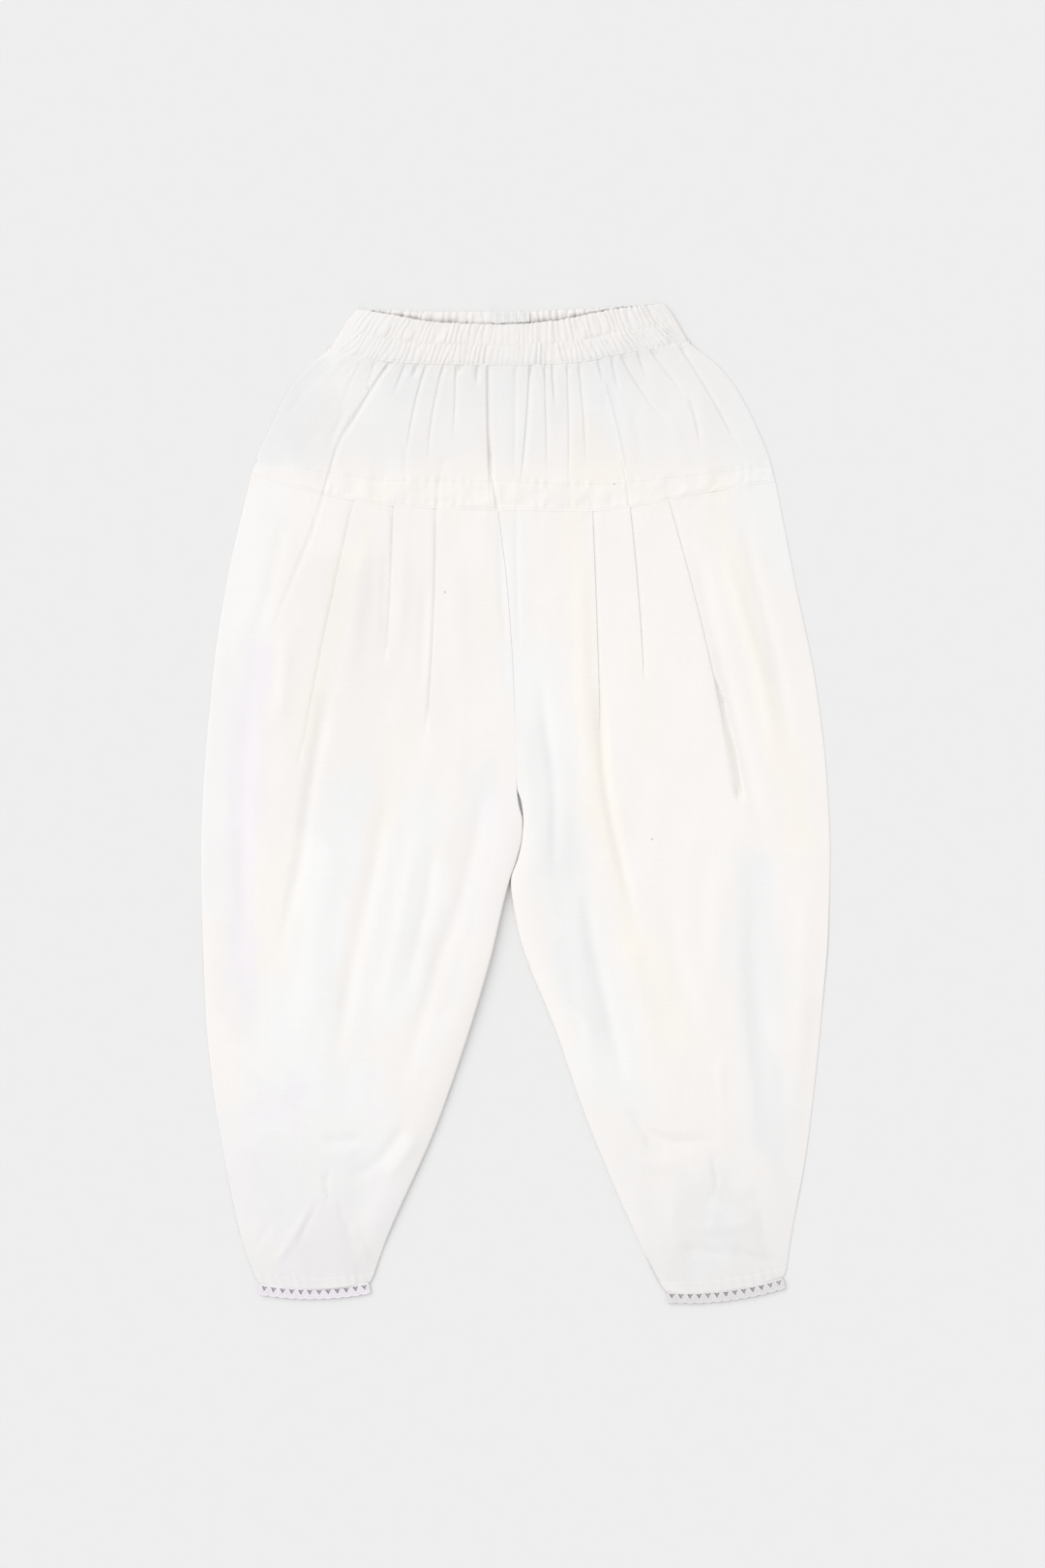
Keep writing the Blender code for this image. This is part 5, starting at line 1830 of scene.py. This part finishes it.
    def side_wall(self, along: Array, lift: Array, layer: Layer) -> Pair:
        """The front or back of the ring.

        Args:
            along: shares of the casing's width, rows by columns.
            lift: shares of its height.
            layer: which layer.

        Returns:
            Points of its outer and inner face.
        """
        x, y = self.place(along, lift, layer)
        half, radius = self.half(along), self.radius(along)
        edge = half * self.edge_round(lift)
        wave = self.wave(along, lift, layer)
        crest = self.crest(along, lift, layer) - 0.5
        y = y + self.tooth * crest * ease((lift - 0.86) / 0.14) * self.calm(along)
        if layer is Layer.FRONT:
            outer, inner = half + 2.0 * radius + edge + wave, half + 2.0 * radius - edge
        else:
            outer = half - edge
            inner = np.maximum(self.inner_back(along, lift) + self.inside_gather * wave, outer + 0.25)
        return np.dstack([x, y, outer]), np.dstack([x, y, inner])

    def end_turn(self, lift: Array, end: float) -> list[Array]:
        """The ring's turn at one end, going round it clockwise as seen from its foot.

        Args:
            lift: shares of the casing's height, as a column.
            end: 0 for the left end, 1 for the right one.

        Returns:
            Points of its outer and inner face.
        """
        angles = np.radians(np.linspace(90.0, -90.0, self.end_count + 2)[1:-1])
        if end == 0.0:
            angles = angles[::-1]
        along = np.full((len(lift), len(angles)), end)
        lift = np.broadcast_to(lift, along.shape)
        x, y = self.place(along, lift, Layer.FRONT)
        half, radius = self.half(along), self.radius(along)
        outward = 1.0 if end > 0.5 else -1.0
        faces = []
        for edge in (half * self.edge_round(lift), -half * self.edge_round(lift)):
            reach = radius + edge
            across = x + outward * np.cos(angles) * reach
            faces.append(np.dstack([across, y, half + radius + np.sin(angles) * reach]))
        return faces

    def stitch_rows(self) -> list[Pair]:
        """X and Y of the stitched lines along the front's middle and its foot."""
        along = np.linspace(0.03, 0.97, 220)
        lines = (self.stitch_line, self.foot_line)
        return [self.place(along, np.full(along.shape, lift), Layer.FRONT) for lift in lines]

    def build(self) -> Piece:
        """Makes the ring's mesh, rows down from its top, and dresses it.

        Returns:
            The piece.
        """
        lift = np.array(self.lifts)[::-1, None]
        front_along = np.linspace(0.0, 1.0, self.front_count + 1)[:-1] + 0.5 / self.front_count
        back_along = np.linspace(1.0, 0.0, self.back_count + 1)[:-1] - 0.5 / self.back_count
        front = self.side_wall(*np.broadcast_arrays(front_along, lift), Layer.FRONT)
        back = self.side_wall(*np.broadcast_arrays(back_along, lift), Layer.BACK)
        parts = (front, self.end_turn(lift, 1.0), back, self.end_turn(lift, 0.0))
        outer, inner = (np.concatenate(faces, axis=1) for faces in zip(*parts))
        outer[:, :, 2] = np.maximum(outer[:, :, 2], 0.0)
        points, quads = ring_shell(outer, inner)
        tint_and_shade = tint_and_shade_at(points)
        tint_and_shade[:, 0] += self.warmth
        return mesh_object("waistband", points, quads, self.cotton, tint_and_shade)


@dataclass(kw_only=True)
class Yoke(Tube):
    """The hip yoke: a thin tube from the casing to the seam, with a doubled band along the seam.

    Attributes:
        mouth: how much deeper the gathers are just below the casing, apart from the deepest ones.
        reach: how far down the ends of the casing's gathers run, and its unevenness.
    """

    casing: Waistband
    head_rows: Row = (-2.0, 0.0, 1.0, 2.2, 3.6)
    band_rows: Row = (
        24.0, 23.0, 22.3, 21.7, 21.0, 20.0, 18.2, 16.0, 13.5, 11.0, 8.5, 6.2, 4.4, 3.2, 2.3, 1.6, 1.0,
        0.55, 0.22, 0.0,
    )
    columns_a_gather: int = 17
    crowd: float = 0.085
    apart: float = 1.6
    rim: float = 12.0
    mouth: float = 0.9
    deepest: float = -1.9
    reach: tuple[float, Uneven] = (11.0, Uneven(8.0, 1.0 / 40.0, 41))
    tuck: float = 0.8
    band_raise: float = 0.11
    band_pucker: Uneven = Uneven(0.52, 3.4, 61)
    band_block: Uneven = Uneven(0.78, 8.0, 63, 11.0)

    def rows(self) -> Array:
        """Shares down the yoke. The first rows lie under the casing."""
        length = self.cut.length
        body = np.arange(5.2, length - 25.0, 1.9)
        return np.concatenate([self.head_rows, body, length - np.array(self.band_rows)]) / length

    def front_columns(self, down: Array) -> Array:
        """The front's columns, crowded along each gather's line.

        Args:
            down: share down the yoke of each row.

        Returns:
            X of the columns, rows first.
        """
        left_x, right_x = self.cut.sides(down)
        near = np.array(self.near)
        marks = [left_x + near[-1]]
        for fold in YOKE_GATHERS:
            marks.append(np.maximum(self.cut.crossing(fold, down), marks[-1] + self.apart))
        marks.append(right_x - near[-1])
        for index in range(len(marks) - 2, 0, -1):
            marks[index] = np.minimum(marks[index], marks[index + 1] - self.apart)
        xs = [left_x + near[:-1]]
        for first, second in zip(marks[:-1], marks[1:]):
            xs += [first, between(first, second, self.columns_a_gather, self.crowd)]
        xs.append(right_x - near[::-1])
        return np.concatenate(xs, axis=1)

    def ripples(self, along: Array, below: Array) -> Array:
        """The short ends of the casing's gathers, which run on into the yoke and fade.

        Args:
            along: shares of the yoke's width.
            below: distance below the casing's foot.

        Returns:
            What they add to the height.
        """
        length, uneven = self.reach
        crest = self.casing.lower_row.crest(along, 0.0) - 0.45
        rise = (0.42 + 0.36 * ease(below / 5.0)) * (1.0 + 0.35 * ease((along - 0.5) / 0.2))
        fade = np.exp(-((below / (length + uneven(along))) ** 1.2))
        return rise * crest * fade * self.casing.calm(along)

    def band(self, x: Array, y: Array) -> Array:
        """The doubled band: raised, with a stitched edge above and a round one at the seam.

        Args:
            x: X of the points.
            y: Y of the points.

        Returns:
            What it adds to the height of each.
        """
        above = y - YOKE_SEAM(x)
        height = YOKE_BAND(x) - YOKE_SEAM(x)
        raised = self.band_raise * ease((height + 0.4 - above) / 1.2)
        groove = -0.12 * bell(above - height, 0.8)
        pucker = self.band_pucker(x) * (bell(above - 5.0, 2.6) + bell(above - height, 3.0))
        block = self.band_block(x, above) * bell(above - height / 2, height * 0.6) * ease(above / 4.0)
        foot = -0.03 * (1.0 - rounded(above, 0.8))
        return raised + groove + pucker + block + foot

    def front(self, down: Array) -> Pair:
        """The front layer.

        Args:
            down: share down the yoke of each row.

        Returns:
            Points of its upper face, rows by columns, and the cloth's thickness there.
        """
        x = self.front_columns(down)
        y = self.cut.y_at(x, down)
        left_x, right_x = self.cut.sides(down)
        along = self.cut.across(x, down)
        below = np.maximum(CASING_BOTTOM(x) - y, 0.0)
        rim = np.minimum(rounded(x - left_x, self.rim), rounded(right_x - x, self.rim))
        held = (1.0 - np.clip(below / 26.0, 0.0, 1.0)) ** 2
        z = mix(FORM.height(x, y), self.casing.foot_height(along) - 0.06, held)
        mouth = self.mouth * bell(below - 4.0, 5.0)
        tucked = 0.35 + 0.65 * ease(below / 3.5)
        for fold in YOKE_GATHERS:
            z = z + fold.relief(x, y) * rim * tucked * (1.0 + mouth * (fold.height > self.deepest))
        for crease in YOKE_CREASES:
            z = z + crease.relief(x, y) * rim
        z = z + self.ripples(along, below) * rim + self.band(x, y)
        z = np.where(y > CASING_BOTTOM(x) + 0.2, z - self.tuck, z)
        z = self.turned(Layer.FRONT, x, y, z, down)
        return np.dstack([x, y, z]), np.full(x.shape, CLOTH_SHELL)

    def stitch_rows(self) -> list[Pair]:
        """X and Y of the stitched lines just above the seam and at the band's upper edge."""
        x = np.arange(-190.0, 187.0, 1.2)
        return [(x, YOKE_SEAM(x) + 2.2), (x, YOKE_BAND(x))]


class Repeater:
    """A Geometry Nodes tree that sets one small form along a path, turned into a plain mesh."""

    def __init__(self, name: str, sizes: dict[str, float]) -> None:
        """Starts a tree with a named input for each size, a seed and a material.

        Args:
            name: the tree's name.
            sizes: the sizes by name, in metres.
        """
        self.group = bpy.data.node_groups.new(name, "GeometryNodeTree")
        kinds = {"Geometry": "Geometry", **dict.fromkeys(sizes, "Float")}
        kinds |= {"Seed": "Int", "Material": "Material"}
        face = self.group.interface
        self.identifiers = {
            given: face.new_socket(given, in_out="INPUT", socket_type=f"NodeSocket{kind}").identifier
            for given, kind in kinds.items()
        }
        face.new_socket("Geometry", in_out="OUTPUT", socket_type="NodeSocketGeometry")
        self.tree = Tree(self.group)
        self.sizes = sizes
        self.start = self.tree.node("NodeGroupInput")

    def given(self, name: str) -> Link:
        """The tree's own input of this name."""
        return self.start.outputs[name]

    def size(self, *parts: Link) -> Link:
        """The scale of the form along X, Y and Z."""
        return self.tree.node("ShaderNodeCombineXYZ", None, dict(enumerate(parts))).outputs[0]

    def along(self, motif: Link, scale: Link, wobble: float) -> None:
        """Sets the motif along the path, its X along the path's way, and ends the tree.

        Args:
            motif: the form that is repeated.
            scale: its scale.
            wobble: how far each may be turned differently, in radians.
        """
        tree = self.tree
        path = tree.node("GeometryNodeMeshToCurve", None, {0: self.given("Geometry")})
        inputs = {"Curve": path.outputs[0], "Length": self.given("Pitch")}
        spots = tree.node("GeometryNodeCurveToPoints", {"mode": "LENGTH"}, inputs)
        way = {"Vector": spots.outputs["Tangent"]}
        turned = tree.node("FunctionNodeAlignRotationToVector", {"axis": "X", "pivot_axis": "AUTO"}, way)
        inputs = {0: (-wobble, -wobble * 0.4, -wobble), 1: (wobble, wobble * 0.4, wobble)}
        random_turn = tree.node("FunctionNodeRandomValue", {"data_type": "FLOAT_VECTOR"}, inputs)
        tree.tree.links.new(self.given("Seed"), random_turn.inputs["Seed"])
        own = tree.node("FunctionNodeEulerToRotation", None, {0: random_turn.outputs[0]})
        both = {"Rotation": turned.outputs[0], "Rotate By": own.outputs[0]}
        spun = tree.node("FunctionNodeRotateRotation", {"rotation_space": "LOCAL"}, both)
        inputs = {
            "Points": spots.outputs["Points"],
            "Instance": motif,
            "Rotation": spun.outputs[0],
            "Scale": scale,
        }
        placed = tree.node("GeometryNodeInstanceOnPoints", None, inputs)
        real = tree.node("GeometryNodeRealizeInstances", None, {0: placed.outputs[0]})
        inputs = {"Geometry": real.outputs[0], "Material": self.given("Material")}
        dressed = tree.node("GeometryNodeSetMaterial", None, inputs)
        tree.node("NodeGroupOutput", None, {0: dressed.outputs[0]})

    def run(self, path: Piece, seed: int, material: Material) -> Piece:
        """Turns a path object into the plain mesh that the tree makes along it.

        Args:
            path: the object of the path.
            seed: which small differences.
            material: the form's finish.

        Returns:
            The same object, with the new mesh and no modifier.
        """
        modifier = path.modifiers.new("repeat", "NODES")
        modifier.node_group = self.group
        for name, value in {**self.sizes, "Seed": seed, "Material": material}.items():
            modifier[self.identifiers[name]] = value
        bpy.context.view_layer.update()
        graph = bpy.context.evaluated_depsgraph_get()
        mesh = bpy.data.meshes.new_from_object(path.evaluated_get(graph))
        path.modifiers.remove(modifier)
        old = path.data
        path.data = mesh
        bpy.data.meshes.remove(old)
        mesh.name = path.name
        mesh.shade_smooth()
        return path


@dataclass(frozen=True)
class LaceMotif:
    """One unit of the lace, drawn in a unit square: a heart-shaped hole over a close scallop.

    Attributes:
        header: depth of the header, where the hole starts.
        tip: depth at which the two ribs beside the hole meet.
        notch: depth at which one scallop meets the next.
    """

    strands: int = 11
    header: float = 0.10
    bridge: float = 0.075
    tip: float = 0.70
    notch: float = 0.84
    thread: float = 0.060
    fine: float = 0.056
    spread: Span = (1.02, 0.96)

    def rib(self, x: float) -> float:
        """Depth of the ribs at this place across the unit."""
        share = min(abs(x) / (0.5 - self.bridge), 1.0)
        return self.tip + (self.header - self.tip) * share

    def foot(self, x: float) -> float:
        """Depth of the scallop's edge at this place across the unit."""
        return self.notch + (1.0 - self.thread - self.notch) * math.cos(math.pi * x)

    def lines(self) -> list[tuple[Span, Span, float]]:
        """The straight strands.

        Returns:
            Start, end and radius of each.
        """
        side, header = 0.5 - self.bridge, -self.header
        found = [
            ((-0.5, -0.02), (0.5, -0.02), self.thread),
            ((-0.5, header), (0.5, header), self.thread),
            ((-side, header), (0.0, -self.tip), self.thread),
            ((side, header), (0.0, -self.tip), self.thread),
            ((0.0, header), (0.0, header - 0.10), self.fine),
        ]
        edge, ribs = self.spread
        for index in range(self.strands):
            x = edge * (index / (self.strands - 1) - 0.5)
            found.append(((x * ribs, -self.rib(x)), (x, -self.foot(x)), self.fine))
        return found

    def arc(self) -> tuple[Span, ...]:
        """Three points of the scallop's edge."""
        return (-0.5, -self.notch), (0.0, -self.foot(0.0)), (0.5, -self.notch)


@dataclass
class HemLace:
    """The lace along one leg's hem, on one layer."""

    side: Side
    layer: Layer
    cut: Cut
    height: float
    thread: Material
    motif: LaceMotif = LaceMotif()
    pitch: float = 6.6
    depth: float = 8.2
    plump: float = 7.0
    tucked: float = 0.6
    ripple: Uneven = Uneven(0.12, 8.0, 71)
    wobble: float = 0.02
    seed: int = 5

    def repeater(self, pitch: float) -> Repeater:
        """The tree that makes lace along a path that runs to the right, hanging below it.

        Args:
            pitch: distance from one fan to the next.

        Returns:
            The tree.
        """
        made = Repeater("lace", {"Pitch": pitch * MM, "Depth": self.depth * MM, "Height": self.plump * MM})
        tree = made.tree

        def thread(kind: str, places: dict[str, object], radius: float) -> Link:
            """A round thread along a curve.

            Args:
                kind: the type of the curve's node.
                places: its points.
                radius: the thread's radius.

            Returns:
                The thread.
            """
            curve = tree.node(kind, {"mode": "POINTS"}, places)
            sizes = {"Resolution": 6, "Radius": radius}
            ring = tree.node("GeometryNodeCurvePrimitiveCircle", {"mode": "RADIUS"}, sizes)
            inputs = {"Curve": curve.outputs[0], "Profile Curve": ring.outputs[0], "Fill Caps": True}
            return tree.node("GeometryNodeCurveToMesh", None, inputs).outputs[0]

        joined = tree.node("GeometryNodeJoinGeometry")
        for start, end, radius in self.motif.lines():
            places = {"Start": (*start, 0.0), "End": (*end, 0.0)}
            strand = thread("GeometryNodeCurvePrimitiveLine", places, radius)
            tree.tree.links.new(strand, joined.inputs[0])
        first, middle, last = self.motif.arc()
        places = {"Resolution": 10, "Start": (*first, 0.0), "Middle": (*middle, 0.0), "End": (*last, 0.0)}
        edge = thread("GeometryNodeCurveArc", places, self.motif.thread)
        tree.tree.links.new(edge, joined.inputs[0])
        size = made.size(made.given("Pitch"), made.given("Depth"), made.given("Height"))
        made.along(joined.outputs[0], size, self.wobble)
        return made

    def build(self) -> Piece:
        """Makes the lace along the hem's edge, from left to right.

        Returns:
            The piece.
        """
        foot = np.array([1.0])
        left_x, right_x = (float(side[0, 0]) for side in self.cut.sides(foot))
        x = np.linspace(left_x + CORNER, right_x - CORNER, 400)
        y = self.cut.y_at(x[None, :], foot)[0] + self.tucked
        line = np.stack([x, y, self.height + self.ripple(x)], axis=1)
        along = np.concatenate([[0.0], np.cumsum(np.linalg.norm(np.diff(line, axis=0), axis=1))])
        count = round(along[-1] / self.pitch)
        pitch = along[-1] / count
        spots = np.linspace(pitch / 2, along[-1] - pitch / 2, count)
        line = np.stack([np.interp(spots, along, part) for part in line.T], axis=1)
        steps = np.linalg.norm(np.diff(line, axis=0), axis=1)
        path = polyline_object(f"lace_{self.layer.value}_{self.side.value}", [line])
        return self.repeater(float(steps.mean()) * (1.0 - 1e-4)).run(path, self.seed, self.thread)


@dataclass
class BackLabel:
    """The plain woven label inside the back of the casing, rippled by the gathers under it."""

    tape: Material
    casing: Waistband
    width: float = 28.8
    height: float = 16.0
    thick: float = 0.35
    middle_x: float = -4.0
    top_y: float = 366.0
    clear: float = 0.55
    casing_foot: float = 326.5
    casing_height: float = 40.8
    columns: int = 73
    rows: int = 25

    def build(self) -> Piece:
        """Makes the label as a thin closed sheet.

        Returns:
            The piece.
        """
        left, right = self.middle_x - self.width / 2, self.middle_x + self.width / 2
        down = np.linspace(self.top_y, self.top_y - self.height, self.rows)
        x, y = np.meshgrid(np.linspace(left, right, self.columns), down)
        edge = np.minimum(np.minimum(x - x.min(), x.max() - x), np.minimum(y - y.min(), y.max() - y))
        ripple = 0.30 * np.sin(x * 0.95 + 0.06 * y) + 0.12 * np.sin(x * 2.1 + 1.0)
        hem = 0.12 * bell(edge - 1.2, 0.7) - 0.15 * (1.0 - rounded(edge, 0.6))
        lift = (y - self.casing_foot) / self.casing_height
        start, end = self.casing.ends(lift)
        along = (x - start) / (end - start)
        z = self.casing.inner_back(along, np.minimum(lift, 0.93)) + self.clear + ripple + hem
        upper, under = (np.dstack([x, y, z + step * self.thick / 2]) for step in (1.0, -1.0))
        outer = np.concatenate([upper, under[:, ::-1]], axis=1)
        rows, columns = outer.shape[:2]
        ring = np.arange(self.columns - 1)
        top = np.stack([ring, ring + 1, columns - 2 - ring, columns - 1 - ring], axis=-1)
        foot = top[:, ::-1] + (rows - 1) * columns
        quads = np.concatenate([skin_quads(rows, columns), top, foot])
        return mesh_object("back_label", outer.reshape(-1, 3), quads, self.tape)


@dataclass(frozen=True)
class Studio:
    """The floor, the light and the camera."""

    frame_height: float = 1.1664
    centre: Span = (0.00504, 0.01512)
    garment_z: float = 0.005
    lens: float = 85.0
    sensor: float = 36.0
    floor_half: float = 6000.0
    floor_z: float = -0.05
    key_from: Triple = (-1.5, 1.2, 2.4)
    key_angle: float = 60.0
    key_power: float = 1.25
    dome: float = 0.80

    def camera(self) -> None:
        """Sets the camera straight above the garment."""
        data = bpy.data.cameras.new("camera")
        data.lens = self.lens
        data.sensor_width = self.sensor
        data.clip_end = 50.0
        made = linked("camera", data)
        made.location = (*self.centre, self.frame_height * self.lens / self.sensor + self.garment_z)
        bpy.context.scene.camera = made

    def floor(self) -> Piece:
        """The plain pale floor."""
        corners = ((-1.0, -1.0), (1.0, -1.0), (1.0, 1.0), (-1.0, 1.0))
        points = np.array([(x * self.floor_half, y * self.floor_half, self.floor_z) for x, y in corners])
        return mesh_object("floor", points, np.array([[0, 1, 2, 3]]), PaperFinish().make())

    def light(self) -> None:
        """Sets a wide soft lamp up to the left and an even pale dome."""
        data = bpy.data.lights.new("soft_key", "SUN")
        data.angle = math.radians(self.key_angle)
        data.energy = self.key_power
        made = linked("soft_key", data)
        made.location = self.key_from
        made.rotation_mode = "QUATERNION"
        made.rotation_quaternion = (-made.location).to_track_quat("-Z", "Y")
        world = bpy.data.worlds.new("pale_dome")
        world.use_nodes = True
        tree = Tree(world.node_tree)
        glow = tree.node("ShaderNodeBackground", None, {0: (1.0, 1.0, 1.0, 1.0), 1: self.dome})
        tree.node("ShaderNodeOutputWorld", None, {0: glow.outputs[0]})
        bpy.context.scene.world = world
        bpy.context.scene.view_settings.view_transform = "Standard"


@dataclass
class Stitching:
    """The visible rows of stitches on the front of one piece of cloth."""

    thread: Material
    cloth: Piece
    above: float = 0.02
    length: float = 2.3
    pitch: float = 3.0
    radius: float = 0.17
    wobble: float = 0.05
    seed: int = 9

    def repeater(self) -> Repeater:
        """The tree that lays stitches along a path: short fat threads with sunk ends.

        Returns:
            The tree.
        """
        sizes = {"Pitch": self.pitch, "Length": self.length, "Thread": self.radius}
        made = Repeater("stitches", {name: size * MM for name, size in sizes.items()})
        tree = made.tree
        ball = tree.node("GeometryNodeMeshUVSphere", None, {"Segments": 8, "Rings": 5, "Radius": 1.0})
        half = tree.node("ShaderNodeMath", {"operation": "MULTIPLY"}, {0: made.given("Length"), 1: 0.5})
        thread = made.given("Thread")
        made.along(ball.outputs["Mesh"], made.size(half.outputs[0], thread, thread), self.wobble)
        return made

    def on_cloth(self, x: Array, y: Array) -> Array:
        """Points just over the cloth, found by looking straight down on it.

        Args:
            x: X of the points.
            y: Y of the points.

        Returns:
            Rows of X, Y and Z. Points beside the cloth are left out.
        """
        points = []
        for at_x, at_y in zip(x, y):
            start = Vector((at_x * MM, at_y * MM, 50.0 * MM))
            hit, where, _, _ = self.cloth.ray_cast(start, Vector((0.0, 0.0, -1.0)))
            if hit:
                points.append((at_x, at_y, where.z / MM + self.above))
        return np.array(points)

    def build(self, rows: Sequence[Pair]) -> Piece:
        """Lays rows of stitches on the cloth.

        Args:
            rows: X and Y of the points of each row.

        Returns:
            The piece.
        """
        bpy.context.view_layer.update()
        lines = [self.on_cloth(x, y) for x, y in rows]
        path = polyline_object(f"stitches_{self.cloth.name}", lines)
        return self.repeater().run(path, self.seed, self.thread)


def declare(piece: Piece, slot: str, nodes: Sequence[str] = ()) -> None:
    """Sets a piece on the body, hides the solids that it stands for, and logs its slot.

    Args:
        piece: the piece.
        slot: the slot of its finish, which is only logged.
        nodes: names of the solids.
    """
    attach(piece, BODY)
    if nodes:
        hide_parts(*nodes)
    LOG.info("%s: %d faces, slot %s", piece.name, len(piece.data.polygons), slot)


def main() -> None:
    """Builds the shalwar and its studio, and declares every piece."""
    logging.basicConfig(level=logging.INFO, format="%(message)s")
    studio = Studio()
    studio.camera()
    studio.light()
    studio.floor()
    cotton = CottonFinish().make()
    thread = ThreadFinish().make()
    # The lace is lilac on the left; its greyer, darker right half is painted shade.
    lace_thread = ThreadFinish(
        "lace_thread", (0.895, 0.850, 0.902), right=(0.818, 0.796, 0.802), roughness=0.75
    ).make()
    tape = ThreadFinish(name="label_tape", white=(0.80, 0.80, 0.79)).make()

    casing = Waistband(cotton)
    waistband = casing.build()
    yoke_maker = Yoke(name="yoke", cut=YOKE_CUT, cotton=cotton, turns=(TURN, FLAT_TURN), casing=casing)
    yoke = yoke_maker.build()
    turns = {Side.LEFT: (TURN, ROLLED_TURN), Side.RIGHT: (ROLLED_TURN, FLAT_TURN)}
    columns = {Side.LEFT: (46, 22, 24, 52), Side.RIGHT: (48, 20, 22, 54)}
    wedges = {Side.RIGHT: Wedge(PLEATS[Side.RIGHT][-1])}
    legs = {
        side: Leg(
            name=f"leg_{side.value}", side=side, cut=LEG_CUTS[side], cotton=cotton, turns=turns[side],
            pleats=PLEATS[side], columns=columns[side], wedge=wedges.get(side),
        ).build()
        for side in Side
    }
    lace_heights = {Layer.FRONT: 2.3, Layer.BACK: 0.66}
    laces = {
        (side, layer): HemLace(side, layer, LEG_CUTS[side], height, lace_thread).build()
        for side in Side
        for layer, height in lace_heights.items()
    }
    label = BackLabel(tape, casing).build()
    stitches = {
        "waistband": Stitching(thread, waistband).build(casing.stitch_rows()),
        "yoke": Stitching(thread, yoke).build(yoke_maker.stitch_rows()),
    }
    for side, leg in legs.items():
        stitches[side] = Stitching(thread, leg).build([LEG_CUTS[side].row(8.0)])

    declare(waistband, "cotton", ["waistband"])
    declare(yoke, "cotton", ["yoke_front", "yoke_back"])
    for side, leg in legs.items():
        declare(leg, "cotton", [f"leg_front_{side.value}", f"leg_back_{side.value}"])
    for (side, layer), lace in laces.items():
        declare(lace, "lace", [f"lace_{layer.value}_{side.value}"])
    declare(label, "label_tape", ["back_label"])
    for row in stitches.values():
        declare(row, "cotton")
    for side, leg in legs.items():
        lace = [laces[side, layer] for layer in Layer]


if __name__ == "__main__":
    main()
